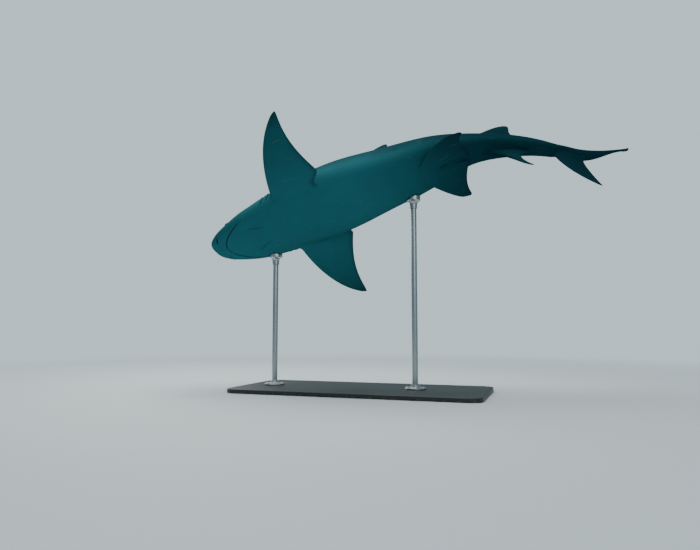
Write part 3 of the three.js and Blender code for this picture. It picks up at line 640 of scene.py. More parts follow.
HOLE_CLEARANCE = 0.0035 / LENGTH


def rows_beside(t, angle, offsets):
    """Rows of points on the skin beside a line: the mesh keeps them where no hole is near."""
    line = body_point(t, angle)
    beside = unit(np.cross(body_normal(t, angle), np.gradient(line, axis=0)))
    shifted = line[None] + np.array(offsets)[:, None, None] / LENGTH * beside[None]
    row_t, row_angle, _ = body_place(shifted)
    clear = np.ones(row_t.shape, bool)
    loops = [body_point(*edge_of(edge)) for edge in skin.holes]
    for loop in loops:
        gap = np.linalg.norm(shifted[:, :, None] - loop[None, None], axis=-1).min(axis=-1)
        clear &= gap > HOLE_CLEARANCE
        clear &= ~inside_loop(shifted, loop)
    for row in range(len(offsets)):
        for run in np.split(np.arange(clear.shape[1]), np.flatnonzero(~clear[row])):
            run = run[clear[row, run]]
            if len(run) > 1:
                skin.add_line(skin.add_points(row_t[row, run], row_angle[row, run]))
    return line * LENGTH, beside


def edge_of(numbers):
    """Place and angle of points that were added to the body."""
    for known, t, angle in skin.on_body:
        if known[0] == numbers[0]:
            return t, angle
    raise ValueError("no such points")


def in_outline(x, y, outline):
    """Whether flat points lie within a closed outline."""
    inside = np.zeros(x.shape, bool)
    for (x0, y0), (x1, y1) in zip(outline, np.roll(outline, -1, axis=0)):
        if y0 != y1:
            inside ^= ((y0 > y) != (y1 > y)) & (x < x0 + (x1 - x0) * (y - y0) / (y1 - y0))
    return inside


def inside_loop(points, loop):
    """Whether points of the body lie within a closed loop on it, seen along the loop's normal."""
    middle = loop.mean(axis=0)
    spread = loop - middle
    _, _, axes = np.linalg.svd(spread, full_matrices=False)
    flat_loop = spread @ axes[:2].T
    flat = (points - middle) @ axes[:2].T
    near = np.linalg.norm(points - middle, axis=-1) < np.linalg.norm(spread, axis=-1).max()
    return in_outline(flat[..., 0], flat[..., 1], flat_loop) & near


def beside_line(line, beside, points):
    """Signed distance in metres from a line on the skin, and share along it, of nearby points."""
    best = np.full(len(points), 1.0)
    share = np.zeros(len(points))
    near = np.flatnonzero(((points > line.min(0) - 0.04) & (points < line.max(0) + 0.04)).all(axis=1))
    p = points[near]
    closest = np.full(len(near), 1e9)
    signed = np.full(len(near), 1.0)
    found = np.zeros(len(near))
    for i in range(len(line) - 1):
        run = line[i + 1] - line[i]
        k = np.clip((p - line[i]) @ run / (run @ run), 0, 1)
        gap = p - line[i] - k[:, None] * run
        distance = np.linalg.norm(gap, axis=1)
        side = np.where(gap @ (beside[i] + beside[i + 1]) < 0, -1, 1)
        nearer = distance < closest
        closest[nearer] = distance[nearer]
        signed[nearer] = (side * distance)[nearer]
        found[nearer] = ((i + k) / (len(line) - 1))[nearer]
    best[near] = signed
    share[near] = found
    return best, share


def hump(distance, at, width):
    """A smooth ridge of height 1 at a distance from a line."""
    return np.exp(-((distance - at) / width) ** 2)


def fade(share, ends):
    """1 along a line, easing to 0 over a share of it at both ends."""
    s = np.clip(np.minimum(share, 1 - share) / ends, 0, 1)
    return s * s * (3 - 2 * s)


# ---------------------------------------------------------------- mouth
# The mouth is a wide curve under the head. The upper lip overhangs it, the lower jaw sits a
# little inside, and a soft crease runs back along the throat behind each corner.

MOUTH_APEX = 0.0472
MOUTH_CORNER = 0.1078
MOUTH_HALF_WIDTH = 0.0449
MOUTH_POINTS = 131
MOUTH_ROWS = [-0.014, -0.010, -0.0072, -0.005, -0.0033, -0.002, -0.001, 0,
              0.001, 0.002, 0.0033, 0.005, 0.0072, 0.010, 0.014]
across = np.linspace(-1.06, 1.06, MOUTH_POINTS)
mouth_t = MOUTH_APEX + (MOUTH_CORNER - MOUTH_APEX) * np.abs(across) ** 2.1
mouth_angle = -np.pi / 2 + across
for _ in range(12):
    full = fullness(mouth_angle, 1)
    cosine = np.clip(across * MOUTH_HALF_WIDTH / (half_width(mouth_t) * full), -0.999, 0.999)
    mouth_angle = -np.arccos(cosine)
mouth_line, mouth_side = rows_beside(mouth_t, mouth_angle, MOUTH_ROWS)


def mouth_relief(points, angle):
    """The mouth's groove, the lips on both sides of it, the jaw set a little deeper, and painted shade in the
    groove.
    """
    d, share = beside_line(mouth_line, mouth_side, points)
    open_part = fade(share, 0.09)
    height = -0.0085 * hump(d, 0.0004, 0.0019) + 0.0019 * hump(d, -0.0062, 0.0036)
    height = height + 0.0011 * hump(d, 0.0058, 0.0034) - 0.0012 * hump(d, 0.017, 0.011)
    return height * open_part, hump(d, 0.0003, 0.0021) * open_part


CREASE_POINTS = 25
crease_t = np.linspace(0.113, 0.166, CREASE_POINTS)
crease_angle = np.linspace(-61, -78, CREASE_POINTS) * DEGREE
creases = [rows_beside(crease_t, crease_angle, (-0.004, 0, 0.004)),
           rows_beside(crease_t, np.pi - crease_angle, (-0.004, 0, 0.004))]


def throat_relief(points, angle):
    """A soft crease along the throat behind each corner of the mouth, with a line of painted shade along it.
    """
    height = np.zeros(len(points))
    dark = np.zeros(len(points))
    for line, beside in creases:
        d, share = beside_line(line, beside, points)
        shown = fade(share, 0.35)
        height += (0.0012 * hump(np.abs(d), 0.009, 0.006) - 0.0026 * hump(d, 0, 0.0042)) * shown
        dark = np.maximum(dark, 0.35 * hump(d, 0, 0.0035) * shown)
    return height, dark


skin.reliefs += [mouth_relief, throat_relief]

# ---------------------------------------------------------------- gill slits
# Five slits in each side of the neck, the last two above the pectoral fin. Between them lie thin
# flaps of skin, each of which laps back over the slit behind it.

GILL_SLITS = [(0.17, -33, 20), (0.184, -32, 22), (0.198, -19, 24), (0.212, -8, 26), (0.226, -1, 26)]
GILL_ROWS = [-0.0135, -0.0095, -0.0065, -0.0042, -0.0026, -0.0014, -0.0005,
             0.0004, 0.0014, 0.0028, 0.0048, 0.0078, 0.012]
GILL_POINTS = 41
gill_lines = []
for place, low, high in GILL_SLITS:
    s = np.linspace(0, 1, GILL_POINTS)
    slit_t = place + 0.006 * np.sin(np.pi * s)
    slit_angle = (low + (high - low) * s) * DEGREE
    gill_lines.append(rows_beside(slit_t, slit_angle, GILL_ROWS))
    gill_lines.append(rows_beside(slit_t[::-1], np.pi - slit_angle[::-1], GILL_ROWS))


def gill_relief(points, angle):
    """The flap in front of each slit, the slit, the skin that comes up from it behind, and painted shade in
    the slit.
    """
    height = np.zeros(len(points))
    dark = np.zeros(len(points))
    for line, beside in gill_lines:
        d, share = beside_line(line, beside, points)
        open_part = fade(share, 0.16)
        flap = 0.0015 * hump(d, -0.0022, 0.0052) - 0.001 * hump(d, -0.014, 0.006)
        slit = -0.0088 * hump(d, 0.0016, 0.0017) - 0.0024 * hump(d, 0.0048, 0.0045)
        height = height + (flap + slit) * open_part
        dark = np.maximum(dark, hump(d, 0.0013, 0.0019) * open_part)
    return height, dark


skin.reliefs.append(gill_relief)

# ---------------------------------------------------------------- vent and flesh
# The vent is a short cleft between the pelvic fins. Under the skin the jaw muscles, the shoulder
# girdle and the pit in front of the tail show as slow swellings and hollows.

VENT_ROWS = [-0.012, -0.008, -0.005, -0.0028, -0.0012, 0, 0.0012, 0.0028, 0.005, 0.008, 0.012]
VENT_POINTS = 21
vent_t = np.linspace(0.527, 0.551, VENT_POINTS)
vent_line, vent_side = rows_beside(vent_t, np.full(VENT_POINTS, -np.pi / 2), VENT_ROWS)


def vent_relief(points, angle):
    """The cleft of the vent between its two low lips, with painted shade in the cleft."""
    d, share = beside_line(vent_line, vent_side, points)
    shown = fade(share, 0.3)
    lips = 0.0013 * hump(np.abs(d), 0.005, 0.003)
    return (lips - 0.0045 * hump(d, 0, 0.0018)) * shown, 0.7 * hump(d, 0, 0.0018) * shown


# Each swelling: place, angle in degrees, reach along and round in metres, and height in metres.
SWELLINGS = [
    (0.064, 34, 0.040, 0.020, 0.0022),
    (0.105, -8, 0.060, 0.045, 0.0030),
    (0.128, -42, 0.050, 0.040, 0.0026),
    (0.020, 30, 0.030, 0.030, -0.0012),
    (0.150, 30, 0.060, 0.050, -0.0020),
    (0.196, -62, 0.045, 0.055, 0.0045),
    (0.235, -38, 0.060, 0.040, -0.0025),
    (0.480, -50, 0.060, 0.040, 0.0025),
]
PIT_PLACE = 0.7405


def flesh_relief(points, angle):
    """The swellings and hollows on both flanks, and the pit in front of the tail."""
    height = np.zeros(len(points))
    t = points[:, 0] / LENGTH
    for place, at, along, around, rise in SWELLINGS:
        centre = body_point(place, at * DEGREE) * LENGTH
        for side in (1, -1):
            gap = points - centre * (1, side, 1)
            spread = (gap[:, 0] / along) ** 2 + (gap[:, 1] ** 2 + gap[:, 2] ** 2) / around ** 2
            height += rise * np.exp(-spread)
    upper = np.clip(np.sin(angle), 0, 1) ** 8
    lower = np.clip(-np.sin(angle), 0, 1) ** 8
    pit = hump(t * LENGTH, PIT_PLACE * LENGTH - 0.006 * (1 - upper), 0.006)
    height -= (0.0055 * upper + 0.0028 * lower) * pit
    return height, 0 * height


skin.reliefs += [vent_relief, flesh_relief]

# ---------------------------------------------------------------- skin sewn together
# The body's tube is a net of rings and columns. Near a fin, an eye or a groove its points give
# way to that feature's own, and the net between them is filled with triangles.

COLUMNS = 112
SEAM_ANGLE = 60 * DEGREE
HEAD_ROWS = 66
TRUNK_ROWS = 150
TAIL_ROWS = 66
rows = np.concatenate([
    np.linspace(0.012, np.sqrt(0.2), HEAD_ROWS) ** 2,
    np.linspace(0.2, TAIL_ROOT, TRUNK_ROWS)[1:],
    TAIL_ROOT + (TAIL_TIP[0] - 0.0005) * np.sin(np.linspace(0, 1, TAIL_ROWS)[1:] * np.pi / 2) ** 1.15,
])
columns = SEAM_ANGLE + round_angles(COLUMNS)


def girth_radius(t):
    """The mean radius of the body's ring, in shares of the length."""
    wide, up, down, *_ = ring(t)
    return 0.5 * wide + 0.25 * (up + down)


fine_t = np.linspace(0.01, 1, 4000) ** 2
fine_t = fine_t[fine_t < rows[-1]]
fine_t = np.append(fine_t, rows[-1])
steps = np.diff(fine_t) / girth_radius(0.5 * (fine_t[1:] + fine_t[:-1]))
fine_u = np.concatenate([[0], np.cumsum(steps)])


def unrolled(t, angle):
    """The body's surface laid flat, keeping its angles: along it, and round it from the seam."""
    return np.column_stack([np.interp(t, fine_t, fine_u), SEAM_ANGLE + (angle - SEAM_ANGLE) % (2 * np.pi)])


# The points of every feature, and points along the edges of the holes, keep the net away.
feature_points = KDTree(sum(len(n) for n, _, _ in skin.on_body) + 4 * sum(len(h) for h in skin.holes))
for _, t, angle in skin.on_body:
    for p in body_point(t, angle):
        feature_points.insert(p, 0)
hole_edges = []
for edge in skin.holes:
    t, angle = edge_of(edge)
    loop = body_point(t, angle)
    ahead = np.roll(loop, -1, axis=0)
    hole_edges.append(unrolled(t, angle))
    for k in (0.2, 0.4, 0.6, 0.8):
        for p in loop * (1 - k) + ahead * k:
            feature_points.insert(p, 0)
feature_points.balance()


def inside_hole(flat):
    """Whether points of the unrolled surface lie in one of its holes."""
    found = np.zeros(len(flat), bool)
    for loop in hole_edges:
        near = np.flatnonzero(((flat >= loop.min(0)) & (flat <= loop.max(0))).all(axis=1))
        found[near] |= in_outline(*flat[near].T, loop)
    return found


net_t, net_angle = [a.ravel() for a in np.meshgrid(rows, columns, indexing="ij")]
spacing = girth_radius(net_t) * 2 * np.pi / COLUMNS
clearance = np.array([feature_points.find(p)[2] for p in body_point(net_t, net_angle)])
kept = (clearance > 0.5 * spacing) & ~inside_hole(unrolled(net_t, net_angle))
feature_numbers = np.concatenate([n for n, _, _ in skin.on_body])
feature_flat = np.vstack([unrolled(t, angle) for _, t, angle in skin.on_body])
net_numbers = np.full(len(net_t), -1)
net_numbers[kept] = skin.add_points(net_t[kept], net_angle[kept])
seam_numbers = net_numbers.reshape(len(rows), COLUMNS)[:, 0]
seam_flat = unrolled(rows, np.full(len(rows), SEAM_ANGLE)) + (0, 2 * np.pi)
flat = np.vstack([feature_flat, unrolled(net_t[kept], net_angle[kept]), seam_flat])
numbers = np.concatenate([feature_numbers, net_numbers[kept], seam_numbers])
place_of = {int(n): i for i, n in enumerate(numbers[:-len(rows)])}
lines = [(place_of[a], place_of[b]) for a, b in skin.lines]
sewn = delaunay_2d_cdt([Vector(p) for p in flat], lines, [], 0, 1e-9)
points_out, _, triangles, origins, _, _ = sewn
points_out = np.array([tuple(p) for p in points_out])
number_out = np.array([numbers[o[0]] if o else -1 for o in origins])
for i in np.flatnonzero(number_out < 0):
    number_out[i] = skin.add_points([np.interp(points_out[i, 0], fine_u, fine_t)], [points_out[i, 1]])[0]
triangles = np.array(triangles)
corners = points_out[triangles]
span_a, span_b = corners[:, 1] - corners[:, 0], corners[:, 2] - corners[:, 0]
area = span_a[:, 0] * span_b[:, 1] - span_a[:, 1] * span_b[:, 0]
shown = (np.abs(area) > 1e-12) & ~inside_hole(corners.mean(axis=1))
skin.faces.extend(number_out[triangles[shown]].tolist())
for row, pole_t in ((0, 1e-7), (-1, TAIL_ROOT + TAIL_TIP[0])):
    pole = int(skin.add_points([pole_t], [np.pi / 2])[0])
    rim = net_numbers.reshape(len(rows), COLUMNS)[row]
    skin.faces.extend([int(a), int(b), pole] for a, b in zip(rim, np.roll(rim, -1)))

# ---------------------------------------------------------------- pose
# The straight shark is bent along its spine as it turns and banks, then set on the stand.

SPINE_TURN = [(-0.02, -8.2), (0.12, -7.7), (0.27, -3.1), (0.4, 0), (0.55, 1.1), (0.615, 13.1), (0.68, 21.5),
              (0.8, 39.2), (0.9, 32.7), (1.05, 17.4)]
SPINE_RISE = [(-0.02, -9.9), (0.12, -7.2), (0.2, -0.3), (0.4, 0), (0.7, -6.8), (1.05, 3.5)]
SPINE_TWIST = [(0, 4.3), (0.22, -12), (0.4, 0), (0.7, -0.7), (1, -4.8)]
SPINE_HOLD = 0.4
SPINE_START = -0.02
SPINE_END = 1.05
SPINE_STEPS = 430
BANK = -46
NOSE_DOWN = -17
HEADING = 4
HOLD_POINT = Vector((0.085, -0.015, 1.056))

spine_t = np.linspace(SPINE_START, SPINE_END, SPINE_STEPS + 1)
turn, rise, twist = [smooth_curve(c)(spine_t) * DEGREE for c in (SPINE_TURN, SPINE_RISE, SPINE_TWIST)]
spine_back = np.column_stack([np.cos(turn) * np.cos(rise), np.sin(turn) * np.cos(rise), np.sin(rise)])
spine_flat = np.column_stack([-np.sin(turn), np.cos(turn), 0 * turn])
spine_high = np.cross(spine_back, spine_flat)
spine_side = np.cos(twist)[:, None] * spine_flat + np.sin(twist)[:, None] * spine_high
spine_up = np.cos(twist)[:, None] * spine_high - np.sin(twist)[:, None] * spine_flat
spine_step = (spine_t[1] - spine_t[0]) / 2 * (spine_back[1:] + spine_back[:-1])
spine_place = np.vstack([[0, 0, 0], np.cumsum(spine_step, axis=0)])
held = np.array([np.interp(SPINE_HOLD, spine_t, spine_place[:, k]) for k in range(3)])
banked = Euler(np.radians((BANK, NOSE_DOWN, HEADING)), "XYZ").to_matrix().to_4x4()
stance = np.array(Matrix.Translation(HOLD_POINT) @ banked)


def pose(q):
    """From the straight shark, in shares of its length, to the posed shark in metres."""
    at = [np.column_stack([np.interp(q[:, 0], spine_t, axis[:, k]) for k in range(3)])
          for axis in (spine_place, spine_side, spine_up)]
    bent = (at[0] - held + q[:, 1:2] * at[1] + q[:, 2:3] * at[2]) * LENGTH
    return bent @ stance[:3, :3].T + stance[:3, 3]


straight = np.zeros((skin.count, 3))
marks = {name: np.zeros(skin.count) for name in ("tone", "fin", "margin", "chord", "span", "fold", "lid")}
shift = np.zeros((skin.count, 3))
body_numbers = np.concatenate([n for n, _, _ in skin.on_body])
body_t = np.concatenate([t for _, t, _ in skin.on_body])
body_angle = np.concatenate([a for _, _, a in skin.on_body])
surface = body_point(body_t, body_angle)
height = np.zeros(len(surface))
fold = np.zeros(len(surface))
# Each relief also says how dark it is painted: painted shade in its grooves and slits, kept as a mark of the
# skin.
for relief in skin.reliefs:
    h, dark = relief(surface * LENGTH, body_angle)
    height += h
    fold = np.maximum(fold, dark)
shift[body_numbers] = height[:, None] / LENGTH * body_normal(body_t, body_angle)
straight[body_numbers] = surface + shift[body_numbers]
in_lobe = np.clip((body_t - TAIL_ROOT + 0.02) / 0.06, 0, 1)
marks["tone"][body_numbers] = np.sin(body_angle) * (1 - 0.75 * in_lobe) + 0.45 * in_lobe
marks["fold"][body_numbers] = fold
marks["fin"][body_numbers] = np.clip((body_t - TAIL_ROOT) / 0.05, 0, 1)
marks["margin"][body_numbers] = np.clip(-np.sin(body_angle) * 3 - 2, 0, 1) * (body_t > TAIL_ROOT + FORK[0])
for edge, ring_numbers, rings, hold, looks in skin.patches:
    straight[ring_numbers] = rings + hold[:, None, None] * shift[edge][None]
    for name, values in looks.items():
        marks[name][ring_numbers] = values

skin_mesh = bpy.data.meshes.new("shark_skin")
skin_mesh.from_pydata(pose(straight).tolist(), [], skin.faces)
for name, values in marks.items():
    skin_mesh.attributes.new(name, "FLOAT", "POINT").data.foreach_set("value", values.astype(np.float32))
flow = (straight * LENGTH).astype(np.float32)
skin_mesh.attributes.new("straight", "FLOAT_VECTOR", "POINT").data.foreach_set("vector", flow.ravel())
shell = bmesh.new()
shell.from_mesh(skin_mesh)
bmesh.ops.delete(shell, geom=[v for v in shell.verts if not v.link_faces], context="VERTS")
bmesh.ops.recalc_face_normals(shell, faces=shell.faces)
bmesh.ops.triangulate(shell, faces=shell.faces)
shell.to_mesh(skin_mesh)
shell.free()
skin_mesh.shade_smooth()
shark = add_object("shark_skin", skin_mesh)

FLESH = [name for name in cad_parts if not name.startswith(("stand_", "eye_"))]
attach(shark, "root")
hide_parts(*FLESH)

# The finish of the skin: blue-green, lighter below, darker on the back, with painted shade towards the tail
# and in the grooves, dusky at the fins' rear edges, mottled, and rough with scales too small to see one by
# one.


def calculate(tree, operation, *values, clamp=False):
    """The result of one sum on numbers or sockets."""
    made = add_node(tree, "ShaderNodeMath", dict(enumerate(values)), operation=operation, use_clamp=clamp)
    return made.outputs[0]


def product(tree, *values):
    """Several numbers or sockets multiplied, from the left."""
    result = values[0]
    for value in values[1:]:
        result = calculate(tree, "MULTIPLY", result, value)
    return result


def blend(tree, share, first, second, mode="MIX"):
    """Two colours mixed by a share."""
    inputs = {0: share, 6: first, 7: second}
    return add_node(tree, "ShaderNodeMix", inputs, data_type="RGBA", blend_type=mode).outputs[2]


def between(tree, value, low, high):
    """0 below low, 1 above high, and a smooth step between."""
    made = add_node(tree, "ShaderNodeMapRange", {"Value": value, "From Min": low, "From Max": high},
                    interpolation_type="SMOOTHSTEP")
    return made.outputs["Result"]


def read_mark(tree, name, output="Fac"):
    """A mark that the mesh holds at each point."""
    return add_node(tree, "ShaderNodeAttribute", attribute_name=name).outputs[output]


def new_group(name, inputs, outputs):
    """An empty shader group with named sockets, as (tree, input sockets, output node)."""
    tree = bpy.data.node_groups.new(name, "ShaderNodeTree")
    for socket, kind, value in inputs:
        made = tree.interface.new_socket(socket, in_out="INPUT", socket_type=kind)
        if value is not None:
            made.default_value = value
    for socket, kind in outputs:
        tree.interface.new_socket(socket, in_out="OUTPUT", socket_type=kind)
    start = tree.nodes.new("NodeGroupInput")
    end = tree.nodes.new("NodeGroupOutput")
    return tree, start.outputs, end


def use_group(tree, group, inputs):
    """A copy of a shader group in a material, with its own values."""
    return add_node(tree, "ShaderNodeGroup", inputs, node_tree=group).outputs


# Mottling: soft blotches of two sizes, used in every finish.
mottling, mottling_in, mottling_out = new_group(
    "mottling",
    [("Place", "NodeSocketVector", None), ("Blotch Scale", "NodeSocketFloat", 8),
     ("Grain Scale", "NodeSocketFloat", 60)],
    [("Blotches", "NodeSocketFloat"), ("Grain", "NodeSocketFloat")])
for output, scale, detail in (("Blotches", "Blotch Scale", 5), ("Grain", "Grain Scale", 3)):
    cloud = add_node(mottling, "ShaderNodeTexNoise", {
        "Vector": mottling_in["Place"], "Scale": mottling_in[scale], "Detail": detail, "Roughness": 0.6})
    mottling.links.new(cloud.outputs["Fac"], mottling_out.inputs[output])

# Pores: small round pits scattered evenly.
pores, pores_in, pores_out = new_group(
    "pores",
    [("Place", "NodeSocketVector", None), ("Spacing Scale", "NodeSocketFloat", 120),
     ("Pore Size", "NodeSocketFloat", 0.12)],
    [("Pore", "NodeSocketFloat")])
pits = add_node(pores, "ShaderNodeTexVoronoi", {
    "Vector": pores_in["Place"], "Scale": pores_in["Spacing Scale"]})
deep = calculate(pores, "DIVIDE", pits.outputs["Distance"], pores_in["Pore Size"])
deep = calculate(pores, "SUBTRACT", 1, deep, clamp=True)
pores.links.new(deep, pores_out.inputs["Pore"])

hide, tree, shader = new_material("shark_hide")
place = read_mark(tree, "straight", "Vector")
tone = read_mark(tree, "tone")
fin_mark = read_mark(tree, "fin")
margin = read_mark(tree, "margin")
fold = read_mark(tree, "fold")
lid_mark = read_mark(tree, "lid")
span = read_mark(tree, "span")
axes = add_node(tree, "ShaderNodeSeparateXYZ", {"Vector": place}).outputs
body_mark = calculate(tree, "SUBTRACT", 1, fin_mark, clamp=True)

clouds = use_group(tree, mottling, {"Place": place, "Blotch Scale": 7.5, "Grain Scale": 70})
blotch = calculate(tree, "SUBTRACT", clouds["Blotches"], 0.5)
grain = calculate(tree, "SUBTRACT", clouds["Grain"], 0.5)
uneven = calculate(tree, "MULTIPLY_ADD", blotch, 0.55, tone)
uneven = calculate(tree, "MULTIPLY_ADD", grain, 0.18, uneven)
ramp = add_node(tree, "ShaderNodeValToRGB", {"Fac": calculate(tree, "MULTIPLY_ADD", uneven, 0.5, 0.5)})
stops = ramp.color_ramp
SHADES = [
    (0.10, (0.026, 0.146, 0.172)),
    (0.30, (0.023, 0.126, 0.148)),
    (0.42, (0.020, 0.098, 0.116)),
    (0.56, (0.014, 0.060, 0.073)),
    (0.80, (0.010, 0.038, 0.048)),
    (0.98, (0.008, 0.030, 0.038)),
]
for stop, (at, shade) in zip(stops.elements, (SHADES[0], SHADES[-1])):
    stop.position = at
    stop.color = (*shade, 1)
for at, shade in SHADES[1:-1]:
    stops.elements.new(at).color = (*shade, 1)
colour = ramp.outputs["Color"]
# Painted shade: the rear of the body and the tail are darkened towards the end.
tail_shade = product(tree, between(tree, axes["X"], 0.85, 1.60), 0.84)
colour = blend(tree, tail_shade, colour, (0.003, 0.016, 0.024, 1))

patches = between(tree, blotch, -0.16, 0.16)
colour = blend(tree, product(tree, patches, 0.30), colour, (0.58, 0.64, 0.64, 1), "OVERLAY")
freckle = use_group(tree, pores, {"Place": place, "Spacing Scale": 240, "Pore Size": 0.30})["Pore"]
dusk = product(tree, freckle, between(tree, grain, 0.02, 0.14), 0.30)
colour = blend(tree, dusk, colour, (0.012, 0.030, 0.034, 1))
colour = blend(tree, product(tree, margin, fin_mark, 0.55), colour, (0.012, 0.032, 0.038, 1))
colour = blend(tree, product(tree, span, fin_mark, 0.5), colour, (0.008, 0.034, 0.042, 1))

# Sensing pores crowd the underside of the snout; the side line runs thinly along each flank.
snout = product(tree, between(tree, axes["X"], 0.27, 0.02), between(tree, tone, 0.5, -0.2))
jelly = use_group(tree, pores, {"Place": place, "Spacing Scale": 95, "Pore Size": 0.13})["Pore"]
jelly = product(tree, jelly, snout)
colour = blend(tree, product(tree, jelly, 0.75), colour, (0.012, 0.034, 0.038, 1))
off_line = calculate(tree, "ABSOLUTE", calculate(tree, "SUBTRACT", tone, 0.27))
side_line = product(
    tree, between(tree, off_line, 0.022, 0.004), body_mark, between(tree, axes["X"], 0.28, 0.42))
colour = blend(tree, product(tree, side_line, 0.35), colour, (0.014, 0.036, 0.042, 1))

# Old scratches from mating and from reef: short pale strokes in two directions.
scratch = None
for slant in (0.5, -0.7):
    slanted = add_node(tree, "ShaderNodeMapping", {
        "Vector": place, "Rotation": (0, slant, 0.2), "Scale": (5, 60, 60)})
    strokes = add_node(tree, "ShaderNodeTexNoise", {"Vector": slanted.outputs[0], "Scale": 1.3, "Detail": 2})
    stroke = between(tree, strokes.outputs["Fac"], 0.70, 0.76)
    scratch = stroke if scratch is None else calculate(tree, "MAXIMUM", scratch, stroke)
colour = blend(tree, product(tree, scratch, 0.12), colour, (0.20, 0.33, 0.34, 1))
colour = blend(tree, product(tree, lid_mark, 0.35), colour, (0.035, 0.085, 0.090, 1))
# Painted shade in the mouth, gill slits, throat creases, vent, nostrils and eye sockets.
colour = blend(tree, product(tree, fold, 0.92), colour, (0.006, 0.010, 0.012, 1))
tree.links.new(colour, shader.inputs["Base Color"])

rough = calculate(tree, "MULTIPLY_ADD", clouds["Grain"], 0.22, 0.58)
tree.links.new(calculate(tree, "MULTIPLY_ADD", fold, 0.25, rough, clamp=True), shader.inputs["Roughness"])
shader.inputs["Specular IOR Level"].default_value = 0.0

# Relief, from coarse to fine: loose skin, fin rods, the side line and pores, then the scales.
stretched = add_node(tree, "ShaderNodeMapping", {"Vector": place, "Scale": (22, 9, 9)})
loose = add_node(tree, "ShaderNodeTexNoise", {"Vector": stretched.outputs[0], "Scale": 1, "Detail": 3})
chord = read_mark(tree, "chord")
rods = add_node(tree, "ShaderNodeTexNoise", {"W": product(tree, chord, 34), "Detail": 1},
                noise_dimensions="1D")
rod_height = product(tree, rods.outputs["Fac"], product(tree, fin_mark, span))
lumps = calculate(tree, "MULTIPLY_ADD", rod_height, 0.35, loose.outputs["Fac"])
lumps = calculate(tree, "MULTIPLY_ADD", side_line, -0.15, lumps)
lumps = calculate(tree, "MULTIPLY_ADD", jelly, -0.20, lumps)
coarse = add_node(tree, "ShaderNodeBump", {"Height": lumps, "Strength": 0.55, "Distance": 0.0022})
scales = add_node(tree, "ShaderNodeTexVoronoi", {"Vector": place, "Scale": 620})
fine_height = calculate(tree, "MULTIPLY_ADD", clouds["Grain"], 2.2, scales.outputs["Distance"])
fine = add_node(tree, "ShaderNodeBump",
                {"Height": fine_height, "Strength": 0.45, "Distance": 0.00035, "Normal": coarse.outputs[0]})
tree.links.new(fine.outputs[0], shader.inputs["Normal"])
skin_mesh.materials.append(hide)

# ---------------------------------------------------------------- eyes
# Each eye is a glass ball as a taxidermist sets it: a golden-brown iris round an upright slit
# pupil, under a clear, slightly domed front. It is pressed into the socket from inside.

EYE_TURNS = 64
EYE_RINGS = 40
IRIS_BULGE = 0.035
glass, tree, shader = new_material("eye_glass")
look = read_mark(tree, "look", "Vector")
axes = add_node(tree, "ShaderNodeSeparateXYZ", {"Vector": look}).outputs
radius = calculate(tree, "SQRT", calculate(
    tree, "ADD", product(tree, axes["X"], axes["X"]), product(tree, axes["Y"], axes["Y"])))
angle = calculate(tree, "ARCTAN2", axes["Y"], axes["X"])
streaks = add_node(tree, "ShaderNodeTexNoise", {"W": product(tree, angle, 9), "Detail": 4},
                   noise_dimensions="1D")
clouds = use_group(tree, mottling, {"Place": look, "Blotch Scale": 3.5, "Grain Scale": 22})
flecks = calculate(tree, "MULTIPLY_ADD", clouds["Grain"], 0.5, product(tree, streaks.outputs["Fac"], 0.5))
iris = blend(tree, between(tree, flecks, 0.36, 0.64), (0.150, 0.090, 0.022, 1), (0.420, 0.300, 0.090, 1))
iris = blend(tree, between(tree, radius, 0.34, 0.70), iris, (0.075, 0.052, 0.020, 1))
# The pupil's slit narrows towards its upper and lower ends.
off_middle = calculate(tree, "POWER", calculate(tree, "ABSOLUTE", axes["Y"]), 2)
slit_width = calculate(tree, "MULTIPLY_ADD", off_middle, -0.42, 0.095)
off_slit = calculate(tree, "SUBTRACT", calculate(tree, "ABSOLUTE", axes["X"]), slit_width)
iris = blend(tree, between(tree, off_slit, 0.018, -0.006), iris, (0.004, 0.005, 0.006, 1))
ball_colour = blend(tree, between(tree, radius, 0.70, 0.78), iris, (0.016, 0.017, 0.018, 1))
tree.links.new(ball_colour, shader.inputs["Base Color"])
tree.links.new(calculate(tree, "MULTIPLY_ADD", flecks, 0.15, 0.22), shader.inputs["Roughness"])
shader.inputs["Coat Weight"].default_value = 1
shader.inputs["Coat Roughness"].default_value = 0.02
ridges = add_node(tree, "ShaderNodeBump", {"Height": flecks, "Strength": 0.25, "Distance": 0.0004})
tree.links.new(ridges.outputs[0], shader.inputs["Normal"])


def ring_faces(rows, around, closed=False):
    """Faces between rings of points, and from the last ring back to the first if closed."""
    faces = []
    for row in range(rows if closed else rows - 1):
        here, there = row * around, (row + 1) % rows * around
        for k in range(around):
            ahead = (k + 1) % around
            faces.append((here + k, here + ahead, there + ahead, there + k))
    return faces


def face_outwards(mesh):
    """Turns the faces of a closed mesh outwards."""
    shell = bmesh.new()
    shell.from_mesh(mesh)
    bmesh.ops.recalc_face_normals(shell, faces=shell.faces)
    shell.to_mesh(mesh)
    shell.free()


